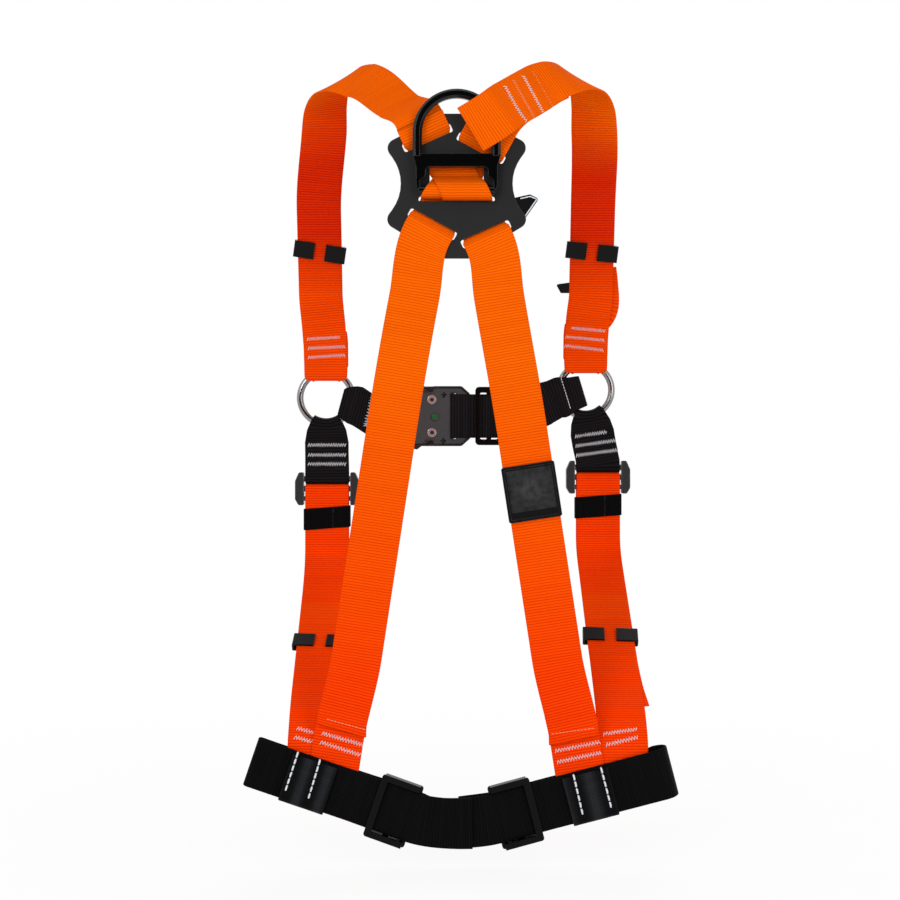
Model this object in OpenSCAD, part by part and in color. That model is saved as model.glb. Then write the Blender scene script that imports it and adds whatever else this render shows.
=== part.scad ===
// Full-body safety harness, shaped as it hangs on a wearer. +Z is up and the wearer faces +Y.
// The origin lies midway between the shoulder straps, where they rest on the shoulders.

/* [Webbing] */
// Width of all load webbing
web_w = 45; // [42:0.5:46]
// Thickness of the webbing
web_t = 1.6; // [1.4:0.1:1.8]
// Clearance between layers that lie on each other
lay = 0.3; // [0.2:0.05:0.4]

/* [Body shape] */
// Depth of the dorsal plate's outer face behind the mid plane
back_depth = 103; // [95:1:110]
// Depth of the chest rings in front of the mid plane
chest_depth = 110; // [100:1:120]
// Half distance between the shoulder crests
shoulder_x = 120; // [115:1:125]
// Radius over which a strap bends across a shoulder
shoulder_r = 45; // [40:1:50]
// Fall of the shoulders to the outside, in degrees
shoulder_slope = 30; // [26:1:34]
// Drop from the shoulders to the dorsal plate's centre
plate_drop = 113; // [108:1:120]
// Drop from the shoulders to the chest rings
ring_drop = 296; // [288:1:304]
// How much higher the right chest ring hangs than the left one
ring_lift = 8; // [0:1:10]
// Half distance between the chest rings
ring_x = 134; // [130:1:138]
// Drop from the shoulders to the seat's lowest point
seat_drop = 705; // [690:1:720]

/* [Dorsal plate and ring] */
// Thickness of the dorsal plate
plate_t = 2.5; // [2:0.1:3]
// Half height of the dorsal plate
plate_half_h = 65; // [63:0.5:69]
// Half width of the dorsal plate at its corner lobes
plate_half_w = 62; // [59:0.5:66]
// Half width of the dorsal plate at its waist
plate_waist = 48; // [46:0.5:51]
// Width of the strap slots
slot_w = 8; // [7.5:0.1:9]
// Thickness of the dorsal ring
dring_t = 8; // [7:0.5:9]
// Outer radius of the dorsal ring's bow
dring_r = 39.3; // [38:0.1:41]
// Face width of the dorsal ring's bow
dring_face = 8.2; // [7:0.1:9]
// Height of the ring's flat cross bar
dring_bar_h = 11.7; // [10:0.1:13]

/* [Chest rings] */
// Wire diameter of a chest ring
wire_d = 7; // [6:0.5:8]
// Mean radius of a chest ring
ring_r = 27; // [25.5:0.5:29]
// Clearance between a ring and the webbing looped on it
loop_gap = 0.8; // [0.7:0.1:1]

/* [Adjusters] */
// Height of a sliding-bar adjuster
adj_h = 34; // [32:0.5:38]
// Width of each side cheek of a sliding-bar adjuster
adj_cheek = 9; // [7.5:0.5:11]
// Depth of an adjuster's side cheeks
adj_t = 9; // [8:0.5:10]
// Radius of an adjuster's bars
adj_bar_r = 3; // [2.5:0.1:3.2]
// Free travel of the sliding bar
adj_travel = 3; // [2:0.5:4]
// Height of an elastic keeper
keeper_h = 23; // [18:1:26]
// Wall of an elastic keeper
keeper_t = 1.3; // [1:0.1:1.6]

/* [Strap clips] */
// Length of a strap clip along the webbing
clip_l = 17; // [14:1:20]
// Wall of a strap clip
clip_t = 1.8; // [1.4:0.1:2.2]
// Length of each lip that folds over the webbing
clip_lip = 19; // [14:0.5:20]

/* [Chest buckle] */
// Height of the chest buckle
buckle_h = 62; // [60:0.5:66]
// Thickness of a buckle plate
buckle_t = 2.5; // [2:0.1:3]
// Thickness of the tongue and the levers
tongue_t = 2.8; // [2.4:0.1:3]
// Radius of the lever rivets
rivet_r = 2.5; // [2.2:0.1:2.8]
// Thickness of the torsion spring wire
spring_d = 0.8; // [0.6:0.1:0.9]

/* [Seat] */
// Length of a leg adjuster along the webbing
leg_adj_l = 38; // [34:0.5:42]
// Thickness of a leg adjuster's bars
leg_adj_t = 2.5; // [2:0.1:3]
// Length of a junction sleeve along the webbing
sleeve_l = 42; // [36:1:48]

/* [Hidden] */
$fn = 48;

// Colours
orange = [1, 0.36, 0.03];
black = [0.09, 0.09, 0.1];
steel = [0.72, 0.73, 0.75];
gunmetal = [0.3, 0.31, 0.32];

// Sides of the body: x is positive on the right as seen from behind
L = -1;
R = 1;
pitch = web_t + lay;
wire_r = wire_d / 2;
// From a bar's or wire's middle to the middle of the webbing round it
wire_wrap = wire_r + loop_gap + web_t / 2;
adj_wrap = adj_bar_r + lay + web_t / 2;

// Vector helpers
function unit(v) = v / norm(v);
function mix(a, b, t) = a + (b - a) * t;
function flat(v) = [v[0], 0, v[1]];
function turn(v, a) = [v[0] * cos(a) - v[1] * sin(a), v[0] * sin(a) + v[1] * cos(a)];

// Outline with every corner rounded: corners are [x, y, radius]
function corner_arc(a, b, c, r, n) =
  let (
    to_a = unit(a - b),
    to_c = unit(c - b),
    half = acos(to_a * to_c) / 2,
    reach = r / tan(half),
    centre = b + unit(to_a + to_c) * r / sin(half),
    from = b + to_a * reach - centre,
    sweep = 180 - 2 * half,
    way = sign(to_a[0] * to_c[1] - to_a[1] * to_c[0])
  )
  [for (k = [0:n]) centre + turn(from, -way * sweep * k / n)];
function rounded(corners, n = 5) =
  let (last = len(corners))
  [for (i = [0:last - 1])
    let (
      before = corners[(i + last - 1) % last],
      here = corners[i],
      after = corners[(i + 1) % last]
    )
    each corner_arc([before[0], before[1]], [here[0], here[1]], [after[0], after[1]], here[2], n)];
function box_outline(half_w, half_h, r) =
  rounded([[-half_w, -half_h, r], [half_w, -half_h, r], [half_w, half_h, r], [-half_w, half_h, r]]);

// Routes: a station is [centre, direction across the webbing, width, skew].
// Skew 1 keeps the direction across as given, 0 or none turns it square to the run.
function skew(s) = len(s) > 3 ? s[3] : 0;
function leg_dir(p, i) =
  i == 0 ? unit(p[1] - p[0]) :
  i == len(p) - 1 ? unit(p[i] - p[i - 1]) :
  let (a = p[i] - p[i - 1], b = p[i + 1] - p[i])
  unit(a * norm(b) / norm(a) + b * norm(a) / norm(b));
function hermite(p, q, dp, dq, t) =
  p * (2 * t * t * t - 3 * t * t + 1) + dp * (t * t * t - 2 * t * t + t)
  + q * (3 * t * t - 2 * t * t * t) + dq * (t * t * t - t * t);
function frames(stations, n) =
  let (p = [for (s = stations) s[0]])
  [for (i = [0:len(p) - 1], k = [0:(i < len(p) - 1 ? n - 1 : 0)])
    let (
      j = min(i + 1, len(p) - 1),
      t = k / n,
      span = norm(p[j] - p[i])
    )
    [
      t == 0 ? p[i] : hermite(p[i], p[j], leg_dir(p, i) * span, leg_dir(p, j) * span, t),
      unit(mix(unit(stations[i][1]), unit(stations[j][1]), t)),
      mix(stations[i][2], stations[j][2], t),
      mix(skew(stations[i]), skew(stations[j]), t)
    ]];
// Four stations on one line, so that the middle stretch between a and b stays straight
function straight(a, b, across, w) = [for (t = [0, 0.1, 0.9, 1]) [mix(a, b, t), across, w]];

// Rows of points across the webbing
function row(c, across, w, m) = [for (j = [0:m - 1]) c + across * w * (j / (m - 1) - 0.5)];
function rows(list, m) =
  [for (i = [0:len(list) - 1])
    let (
      run = unit(list[min(i + 1, len(list) - 1)][0] - list[max(i - 1, 0)][0]),
      across = unit(list[i][1] - run * (list[i][1] * run) * (1 - list[i][3]))
    )
    row(list[i][0], across, list[i][2], m)];

// A sheet of webbing: a grid of points on its middle surface, given thickness
module sheet(grid, t = web_t) {
  n = len(grid);
  m = len(grid[0]);
  normals = [for (i = [0:n - 1]) [for (j = [0:m - 1])
    unit(cross(
      grid[min(i + 1, n - 1)][j] - grid[max(i - 1, 0)][j],
      grid[i][min(j + 1, m - 1)] - grid[i][max(j - 1, 0)]))]];
  points = [for (s = [1, -1], i = [0:n - 1], j = [0:m - 1]) grid[i][j] + normals[i][j] * s * t / 2];
  low = n * m;
  faces = concat(
    [for (i = [0:n - 2], j = [0:m - 2]) let (a = i * m + j)
      each [[a, a + 1, a + m + 1], [a, a + m + 1, a + m]]],
    [for (i = [0:n - 2], j = [0:m - 2]) let (a = low + i * m + j)
      each [[a, a + m + 1, a + 1], [a, a + m, a + m + 1]]],
    [for (i = [0:n - 2]) let (a = i * m) each [[a, a + m, low + a + m], [a, low + a + m, low + a]]],
    [for (i = [0:n - 2]) let (a = i * m + m - 1) each [[a, low + a + m, a + m], [a, low + a, low + a + m]]],
    [for (j = [0:m - 2]) each [[j, low + j, low + j + 1], [j, low + j + 1, j + 1]]],
    [for (j = [0:m - 2])
      let (a = (n - 1) * m + j)
        each [[a, low + a + 1, low + a], [a, a + 1, low + a + 1]]]);
  polyhedron(points, faces);
}

// Webbing looped on a round ring: from the ring's near side, through it, to its far side.
// out points from the ring's centre to the strap, across follows the strap's columns.
loop_steps = 6;
function ring_loop(c, out, across, half_angle, m) =
  [for (k = [0:loop_steps])
    let (
      a = -90 + 180 * k / loop_steps,
      r = ring_r - wire_wrap * cos(a)
    )
    [for (j = [0:m - 1])
      let (b = half_angle * (2 * j / (m - 1) - 1))
      c + (out * cos(b) + across * sin(b)) * r + [0, wire_wrap * sin(a), 0]]];

// Webbing turned round a bar: near side first, then the side that bulge points to, then the far side
function bar_turn(c, bulge, across, r, w, m, steps = 4) =
  [for (k = [0:steps])
    let (a = 180 * k / steps)
    row(c + [0, -r * cos(a), 0] + bulge * r * sin(a), across, w, m)];
function backwards(list) = [for (i = [len(list) - 1:-1:0]) list[i]];

// Dorsal plate
// Depth is counted from the plate's outer face towards the wearer
function on_plate(x, z, depth) = [x, -back_depth + depth, -plate_drop + z];
outer_slot = [26.3, -43.3];
outer_slot_angle = 24;
inner_slot = [21.9, 34.2];
inner_slot_angle = -28.7;
slot_half = web_w / 2 + 1.2;
window_half_w = 34.5;
window_top_half = 24.2;
window_low = -13.6;
window_high = 19;
lobe_r = 8;
waist_r = 40;
lobe_z = 35;
lobe_reach = plate_half_w + 4;
waist_corner = plate_waist - 7.5;
top_half = 12;

module plate_outline() {
  polygon(rounded([
    [-top_half, plate_half_h, lobe_r],
    [-lobe_reach, lobe_z + 2, lobe_r],
    [-waist_corner, 2, waist_r],
    [-lobe_reach, -lobe_z + 3, lobe_r],
    [-top_half, -plate_half_h, lobe_r],
    [top_half, -plate_half_h, lobe_r],
    [lobe_reach, -lobe_z + 3, lobe_r],
    [waist_corner, 2, waist_r],
    [lobe_reach, lobe_z + 2, lobe_r],
    [top_half, plate_half_h, lobe_r]
  ], 8));
}
module strap_slot(place, angle) {
  translate(place)
    rotate(angle)
      polygon(box_outline(slot_half, slot_w / 2, 2));
}
// Stands a flat outline up in the plane of the back, its front towards -Y
module upright(t) {
  rotate([90, 0, 0])
    translate([0, 0, -t])
      linear_extrude(t)
        children();
}
module dorsal_plate() {
  color(black)
    translate(on_plate(0, 0, 0))
      upright(plate_t)
        difference() {
          plate_outline();
          strap_slot(outer_slot, outer_slot_angle);
          strap_slot(-outer_slot, outer_slot_angle);
          strap_slot(inner_slot, inner_slot_angle);
          strap_slot(-inner_slot, inner_slot_angle);
          polygon(rounded([
            [-window_half_w, window_low, 1.5], [window_half_w, window_low, 1.5],
            [window_half_w - 0.5, window_low + 3.4, 1], [window_top_half + 2, window_low + 8, 3],
            [window_top_half, window_low + 17, 3], [window_top_half, window_high, 3],
            [-window_top_half, window_high, 3], [-window_top_half, window_low + 17, 3],
            [-window_top_half - 2, window_low + 8, 3], [-window_half_w + 0.5, window_low + 3.4, 1]]));
        }
}

// Dorsal ring
// Distances up from the plate's centre and out from its face
dring_axis_z = -5;
dring_depth = -(2 * lay + pitch + dring_t / 2);
dring_bow_z = 46.2;
dring_bar_z = 15.7;
dring_slot_half = 27.8;
dring_foot_half = 33;
dring_hip_half = 35.2;
dring_neck_half = 36.4;
dring_foot_r = dring_t / 2;
dring_chamfer = 2;
// The flat part of the ring is a little thinner and narrower than its bow
dring_web_t = dring_t - 0.6;
dring_web_half = dring_r - 0.4;

module dring_section() {
  w = dring_face / 2;
  t = dring_t / 2;
  c = dring_chamfer;
  polygon([
    [-w + c, -t], [w - c, -t], [w, -t + c], [w, t - c],
    [w - c, t], [-w + c, t], [-w, t - c], [-w, -t + c]]);
}
module dorsal_ring() {
  bow = dring_r - dring_face / 2;
  shoulder_z = dring_bar_z + dring_bar_h;
  color(black)
    translate(on_plate(0, 0, dring_depth)) {
      translate([0, 0, dring_bow_z])
        rotate([90, 0, 0])
          rotate_extrude(angle = 180, $fn = 96)
            translate([bow, 0])
              dring_section();
      for (s = [L, R])
        translate([s * bow, 0, shoulder_z - dring_chamfer])
          linear_extrude(dring_bow_z - shoulder_z + dring_chamfer)
            dring_section();
      translate([0, -dring_web_t / 2, 0])
        upright(dring_web_t)
          difference() {
            polygon(rounded([
              [-dring_web_half, shoulder_z, 1],
              [-dring_web_half, shoulder_z - 3, 5],
              [-dring_neck_half, shoulder_z - 12, 8],
              [-dring_neck_half, dring_axis_z - dring_foot_r + 1, 8],
              [dring_neck_half, dring_axis_z - dring_foot_r + 1, 8],
              [dring_neck_half, shoulder_z - 12, 8],
              [dring_web_half, shoulder_z - 3, 5],
              [dring_web_half, shoulder_z, 1]
            ], 5));
            polygon(rounded([
              [-dring_slot_half, dring_bar_z, 4], [-dring_slot_half, 7, 4], [-dring_foot_half, 4, 3],
              [-dring_foot_half, -12, 1], [dring_foot_half, -12, 1], [dring_foot_half, 4, 3],
              [dring_slot_half, 7, 4], [dring_slot_half, dring_bar_z, 4]], 3));
          }
      translate([-dring_hip_half + 1, 0, dring_axis_z])
        rotate([0, 90, 0])
          cylinder(r = dring_foot_r, h = 2 * dring_hip_half - 2);
    }
}

// Straps through the plate
// The two back straps cross in the window, over the ring's foot, one on the other.
cross_z = 7;
foot_wrap = dring_foot_r + 2 * lay + pitch / 2 + web_t / 2;
behind = plate_t + 2 * lay + pitch / 2 + web_t / 2;
front = -lay - web_t / 2 - 0.2;
edge_turn = 1.25 + pitch / 2;
weave = [
  [window_low - 3, behind], [window_low - 0.6, behind],
  [window_low + edge_turn * 0.7, plate_t + edge_turn * 0.72],
  [window_low + edge_turn, plate_t],
  [dring_axis_z - foot_wrap, dring_depth / 2],
  for (a = [-90:25:60]) [dring_axis_z + foot_wrap * sin(a), dring_depth - foot_wrap * cos(a)],
  [2.5, -6.2], [5, -1.9], [7.2, plate_t - 0.5], [8.8, behind - 0.5], [10.6, behind], [12.5, behind]
];
// Middle line of a strap that rises from the lower slot, through the crossing point
function weave_x(low, z) = low[0] * (cross_z - z) / (cross_z - low[1]);
function weave_stations(low, offset) =
  [for (i = [0:len(weave) - 1])
    let (
      before = weave[max(i - 1, 0)],
      after = weave[min(i + 1, len(weave) - 1)],
      run = unit(after - before),
      z = weave[i][0]
    )
    [on_plate(weave_x(low, z), z + offset * run[1], weave[i][1] - offset * run[0]), [1, 0, 0], web_w, 1]];
// A pass through a slot, rising across it: from depth d0 below it to depth d1 above it
slot_tan = 0.7;
function slot_pass(place, angle, d0, d1, lead0, lead1) =
  let (
    up = turn([0, 1], angle),
    mid = plate_t / 2,
    q0 = -abs(mid - d0) / slot_tan,
    q1 = abs(mid - d1) / slot_tan
  )
  [for (q = [[q0 - lead0, d0], [q0 - 1, d0], [q0 - 0.5, d0], [q0 + 0.7, mix(d0, mid, 0.2)], [0, mid],
      [q1 - 0.7, mix(d1, mid, 0.2)], [q1 + 0.5, d1], [q1 + 1, d1], [q1 + lead1, d1]])
    let (w = q[1] > plate_t ? web_w - 4 : web_w)
    [on_plate(place[0] + up[0] * q[0], place[1] + up[1] * q[0], q[1]), flat(turn([1, 0], angle)), w, 1]];

// Run of a back strap from the seat up to its lower slot
back_run_y = -back_depth - 5;
seat_x = 109;
seat_top = -seat_drop + 83;
patch_high = -323;
patch_low = -538;
function back_run(side) =
  let (tilt = [1, 0, side * 0.155])
  concat(
    straight(
      [side * (seat_x + 3), junction_y + pitch, seat_top - 26],
      [side * (seat_x - 3), junction_y + pitch, seat_top + 12],
      [1, 0, side * 0.2], web_w),
    straight([side * 90, back_run_y, patch_low], [side * 57, back_run_y, patch_high], tilt, web_w),
    [[[side * 38, back_run_y + 1.5, -plate_drop - 100], tilt, web_w]]);

// Over a shoulder a strap winds round it like a thread: angle 0 is the crest, positive to the front
function shoulder_station(side, crest, angle, inset = 0) =
  let (
    inner = [-side * cos(shoulder_slope), 0, sin(shoulder_slope)],
    up = [side * sin(shoulder_slope), 0, cos(shoulder_slope)],
    forward = [0, 1, 0],
    radial = up * cos(angle) + forward * sin(angle),
    along = -shoulder_r * angle * PI / 180 * tan(shoulder_slope)
  )
  [crest - up * shoulder_r + inner * along + radial * (shoulder_r - inset),
    inner * cos(shoulder_slope) + (forward * cos(angle) - up * sin(angle)) * sin(shoulder_slope), web_w];
left_crest = [-shoulder_x + 2, 0, web_t / 2];
right_crest = [shoulder_x + 2, -25, web_t / 2 - 4];
// Stretch where two straps are sewn together, from the seam's lower end up to the shoulder
seam_low = [51, -back_depth + 3, -36.5];
seam_across = [-0.6, -0.02, 0.75];
sewn_angles = [-66, -52];
function sewn(inset) =
  let (
    top = shoulder_station(R, right_crest, sewn_angles[0])[0],
    out = unit(cross(top - seam_low, seam_across))
  )
  concat(
    [for (t = [0, 0.3, 0.6]) [mix(seam_low, top, t) - out * inset, seam_across, web_w]],
    [for (a = sewn_angles) shoulder_station(R, right_crest, a, inset)]);

// Front run of a shoulder strap: straight where its clip slides, then down to the ring
clip_top = -105;
clip_end = -190;
front_top_y = chest_depth - 32;
front_end_y = chest_depth - 8;
function ring_place(side) = [side * ring_x, chest_depth, (side == R ? ring_lift : 0) - ring_drop];
function front_run(side, across) =
  concat(
    straight(
      [side * (ring_x + 5), front_top_y, clip_top],
      [side * (ring_x + 5), front_end_y, clip_end],
      across, web_w),
    [[ring_place(side) + [side * 2.5, -2, 74], across, web_w],
      [ring_place(side) + [side, -1.5, 55], across, web_w]]);
loop_columns = 5;
shoulder_loop_angle = 42;
function shoulder_loop(side, across) =
  let (
    c = ring_place(side),
    clear = ring_r + wire_r + 3,
    near = c + [0, -wire_wrap, clear],
    far = c + [0, wire_wrap, clear],
    tail = [[far, across, web_w],
      [c + [0, 2.4, 51], across, web_w],
      [c + [0, -1.5 + pitch + 0.4, 57], across, web_w],
      [c + [side, -1.8 + pitch, 66], across, web_w]]
  )
  concat(
    [row(near, across, web_w - 1, loop_columns)],
    ring_loop(c, [0, 0, 1], across, shoulder_loop_angle, loop_columns),
    rows(frames(tail, 2), loop_columns));

module left_back_strap() {
  up = turn([0, 1], inner_slot_angle);
  stations = concat(
    back_run(L),
    slot_pass(-inner_slot, inner_slot_angle, front, behind + pitch / 2, 6, 1.5),
    weave_stations(-inner_slot, -pitch / 2),
    slot_pass(inner_slot, inner_slot_angle, behind + pitch / 2, front, 1.5, 20),
    [[on_plate(inner_slot[0] + up[0] * 25.5, inner_slot[1] + up[1] * 25.5, front),
      flat(turn([1, 0], inner_slot_angle)), web_w]],
    [for (s = sewn(pitch + 0.5)) [s[0], -s[1], web_w]]);
  color(orange)
    sheet(rows(frames(stations, 3), 2));
}

module right_back_strap() {
  up = turn([0, 1], outer_slot_angle);
  over = [for (a = [-50, -22, 6, 35, 65]) shoulder_station(L, left_crest, a)];
  stations = concat(
    back_run(R),
    slot_pass(outer_slot, outer_slot_angle, front, behind - pitch / 2, 6, 5),
    weave_stations(outer_slot, pitch / 2),
    slot_pass(-outer_slot, outer_slot_angle, behind - pitch / 2, front, 5, 13),
    [[on_plate(-outer_slot[0] + up[0] * 18, -outer_slot[1] + up[1] * 18, front - 0.1),
        [0.88, 0.15, 0.45], web_w],
      [[-54, -75, -37], [0.72, 0.42, 0.5], web_w]],
    over,
    front_run(L, [1, 0, 0]));
  color(orange)
    sheet(concat(rows(frames(stations, 3), loop_columns), shoulder_loop(L, [1, 0, 0])));
}

module right_shoulder_strap() {
  over = [for (a = [-25, 5, 35, 65]) shoulder_station(R, right_crest, a)];
  stations = concat(
    sewn(0),
    over,
    front_run(R, [-1, 0, 0]));
  color(orange)
    sheet(concat(rows(frames(stations, 3), loop_columns), shoulder_loop(R, [-1, 0, 0])));
}

// Loose end of the right shoulder strap, below the seam: it lies on the ring and lifts with it
module shoulder_tab() {
  tab_y = -back_depth + dring_depth - dring_t / 2 - 2 * lay - web_t / 2 - 1;
  seam = sewn(0);
  run = unit(seam[1][0] - seam[0][0]);
  stations = [
    [[12, tab_y, -65], [-0.48, 0, 0.877], web_w],
    [[30, tab_y, -54], [-0.5, 0, 0.866], web_w],
    [[37, tab_y + 1, -49], [-0.52, 0, 0.85], web_w],
    [seam_low - run * 3, seam_across, web_w],
    [seam_low - run * 0.4, seam_across, web_w]];
  color(orange)
    sheet(rows(frames(stations, 4), 3));
}

// Chest rings
module chest_ring(side) {
  color(steel)
    translate(ring_place(side))
      rotate([90, 0, 0])
        rotate_extrude($fn = 72)
          translate([ring_r, 0])
            circle(r = wire_r, $fn = 20);
}
module left_chest_ring() chest_ring(L);
module right_chest_ring() chest_ring(R);

// Sliding-bar adjusters and the loops that carry them
left_adj = [-ring_x + 1, chest_depth, -ring_drop - 94];
right_adj = [ring_x + 13, chest_depth, -ring_drop - 82];
function adjuster_place(side) = side == L ? left_adj : right_adj;
adj_bar_z = 10.15;
lower_loop_angle = 34;

module lower_loop(side) {
  c = ring_place(side);
  a = adjuster_place(side);
  bar = a + [0, 0, adj_bar_z];
  down = unit([bar[0] - c[0], 0, bar[2] - c[2]]);
  across = [-down[2], 0, down[0]];
  clear = ring_r + wire_r + 3;
  middle = mix(c, bar, 0.66);
  near = [0, -1, 0];
  wide = [1, 0, 0];
  near_side = [
    [c + down * clear + near * wire_wrap, across, web_w - 5],
    [mix(c, bar, 0.55) + near * pitch, across, web_w],
    [middle + near * pitch / 2, wide, web_w],
    [bar + near * adj_wrap + [0, 0, 4], wide, web_w]];
  far_side = [
    [bar - near * adj_wrap + [0, 0, 1.5], wide, web_w],
    [bar - near * adj_wrap + [0, 0, 4], wide, web_w],
    [middle - near * pitch / 2, wide, web_w],
    [mix(c, bar, 0.55) - near * pitch, across, web_w],
    [c + down * clear - near * wire_wrap, across, web_w - 5]];
  color(black)
    sheet(concat(
      rows(frames(far_side, 3), loop_columns),
      backwards(ring_loop(c, down, across, lower_loop_angle, loop_columns)),
      rows(frames(near_side, 3), loop_columns),
      bar_turn(bar, [0, 0, -1], wide, adj_wrap, web_w, loop_columns)));
}
module left_lower_loop() lower_loop(L);
module right_lower_loop() lower_loop(R);

cheek_in = web_w / 2 + 1.5;
bar_slot_gap = 0.3;
module adjuster_frame(side) {
  half_h = adj_h / 2;
  out = cheek_in + adj_cheek;
  bar_room = 2 * (adj_bar_r + bar_slot_gap);
  color(gunmetal)
    translate(adjuster_place(side))
      difference() {
        union() {
          for (s = [L, R])
            mirror([s == L ? 1 : 0, 0, 0])
              translate([0, -adj_t / 2, 0])
                upright(adj_t)
                  polygon(rounded([
                    [cheek_in, -half_h, 1.5], [out - 3.5, -half_h, 2], [out, -half_h + 6, 3],
                    [out, half_h - 9, 3], [out - 4, half_h, 2], [cheek_in, half_h, 1.5]], 3));
          for (z = [adj_bar_z, -adj_bar_z])
            translate([0, 0, z])
              rotate([0, 90, 0])
                cylinder(r = z > 0 ? adj_bar_r : adj_bar_r - 0.5, h = 2 * cheek_in + 2, center = true);
        }
        for (s = [L, R])
          translate([s * (cheek_in + 2.5), 0, -adj_travel / 2])
            cube([6, bar_room, bar_room + adj_travel], center = true);
      }
}
module left_adjuster_frame() adjuster_frame(L);
module right_adjuster_frame() adjuster_frame(R);

module adjuster_bar(side) {
  color(gunmetal)
    translate(adjuster_place(side))
      rotate([0, 90, 0])
        cylinder(r = adj_bar_r, h = 2 * cheek_in + 10, center = true);
}
module left_adjuster_bar() adjuster_bar(L);
module right_adjuster_bar() adjuster_bar(R);

// Lower front straps: from the seat up round the sliding bar, with a free tail behind
lower_x = [-129, 149];
function lower_seat_x(side) = side == L ? lower_x[0] : lower_x[1];
keeper_clear = 60;
slope_end = -seat_drop + 131;
module lower_strap(side) {
  a = adjuster_place(side);
  x = lower_seat_x(side);
  wide = [1, 0, 0];
  y_end = junction_y + 2 * pitch;
  high = slope_high(side);
  low = slope_low(side);
  square = unit(cross(wide, low - high));
  main = concat(
    straight([x, y_end, seat_top - 28], [x, y_end, seat_top + 7], wide, web_w),
    [[[x, y_end + 9, seat_top + 22], wide, web_w]],
    straight(low, high, wide, web_w),
    [[a + [0, -adj_wrap, -keeper_clear], wide, web_w]],
    straight(a + [0, -adj_wrap, -keeper_clear + 4], a + [0, -adj_wrap, -1], wide, web_w));
  side_step = square[1] > 0 ? pitch + 0.2 : -pitch - 0.2;
  tail = concat(
    straight(a + [0, adj_wrap, -1], a + [0, adj_wrap, -keeper_clear + 4], wide, web_w),
    [[a + [0, adj_wrap, -keeper_clear], wide, web_w]],
    straight(high + square * side_step, low + square * side_step, wide, web_w));
  color(orange)
    sheet(concat(
      rows(frames(main, 3), 2),
      bar_turn(a, [0, 0, 1], wide, adj_wrap, web_w, 2, 6),
      rows(frames(tail, 3), 2)));
}
module left_lower_strap() lower_strap(L);
module right_lower_strap() lower_strap(R);

module keeper(side) {
  half_w = web_w / 2 + lay;
  half_d = adj_wrap + web_t / 2 + lay;
  color(black)
    translate(adjuster_place(side) + [0, 0, -adj_h / 2 - 2 - keeper_h])
      linear_extrude(keeper_h)
        difference() {
          polygon(box_outline(half_w + keeper_t, half_d + keeper_t, 2.4));
          polygon(box_outline(half_w, half_d, 1));
        }
}
module left_keeper() keeper(L);
module right_keeper() keeper(R);

// C-shaped strap clips: wall on the far side, two lips folded over the near side.
// run is the webbing's direction, layers the number of layers held.
module strap_clip(place, run, tilt, layers) {
  half_w = web_w / 2 + 2.2;
  room = layers * pitch + lay + 0.4;
  lean = atan2(run[1], run[2]);
  color(black)
    translate(place)
      rotate([-lean, 0, 0])
        rotate([0, tilt, 0])
          translate([0, web_t / 2 + lay - room, -clip_l / 2])
            linear_extrude(clip_l)
              difference() {
                polygon(rounded([
                  [-half_w - clip_t, -clip_t, 1], [half_w + clip_t, -clip_t, 1],
                  [half_w + clip_t, room + clip_t, 1.5], [-half_w - clip_t, room + clip_t, 1.5]], 3));
                translate([-half_w, 0])
                  square([2 * half_w, room]);
                translate([-half_w + clip_lip, -clip_t - 1])
                  square([2 * (half_w - clip_lip), clip_t + 2]);
              }
}
function upper_clip_run() = unit([0, front_top_y - front_end_y, clip_top - clip_end]);
function upper_clip_place(side) =
  mix([side * (ring_x + 5), front_top_y, clip_top], [side * (ring_x + 5), front_end_y, clip_end], 0.5);
module left_upper_clip() strap_clip(upper_clip_place(L), upper_clip_run(), 9, 1);
module right_upper_clip() strap_clip(upper_clip_place(R), upper_clip_run(), 6, 1);

lower_clip_share = 0.52;
function slope_high(side) =
  let (a = adjuster_place(side))
  [mix(a[0], lower_seat_x(side), 0.25), chest_depth - 42, a[2] - keeper_clear - 42];
function slope_low(side) =
  [mix(adjuster_place(side)[0], lower_seat_x(side), 0.9), junction_y + 2 * pitch + 38, slope_end];
module lower_clip(side) {
  run = unit(slope_high(side) - slope_low(side));
  place = mix(slope_high(side), slope_low(side), lower_clip_share);
  strap_clip(place + [0, run[2], -run[1]] * (pitch + 0.2), run, 3, 2);
}
module left_lower_clip() lower_clip(L);
module right_lower_clip() lower_clip(R);

// Chest buckle
// Local x and z are counted from the buckle's middle, y from its near face towards the chest
buckle_c = [-20, chest_depth - 3, -ring_drop - 19];
gap_run = 0.3;
lever_y = buckle_t + gap_run;
spring_y = lever_y + tongue_t + 0.2;
spring_turns = 1.6;
spring_rise = spring_d + 0.25;
front_y = spring_y + spring_d + spring_rise * spring_turns + gap_run;
buckle_half_h = buckle_h / 2;
rivet_x = -4.6;
rivet_z = 17;
rivet_head_r = rivet_r + 2;
rivet_head_t = 1;
lever_fit = 0.06;
plate_fit = 0.05;
tongue_half_h = 11;
hook_depth = 1.8;
web_slot_half = web_w / 2 + 1;
bar_x = 20;
bar_slot_w = 5;
buckle_left = -33;
buckle_right = 35;
cavity_right = 12;
indicator_r = 3.3;

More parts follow.
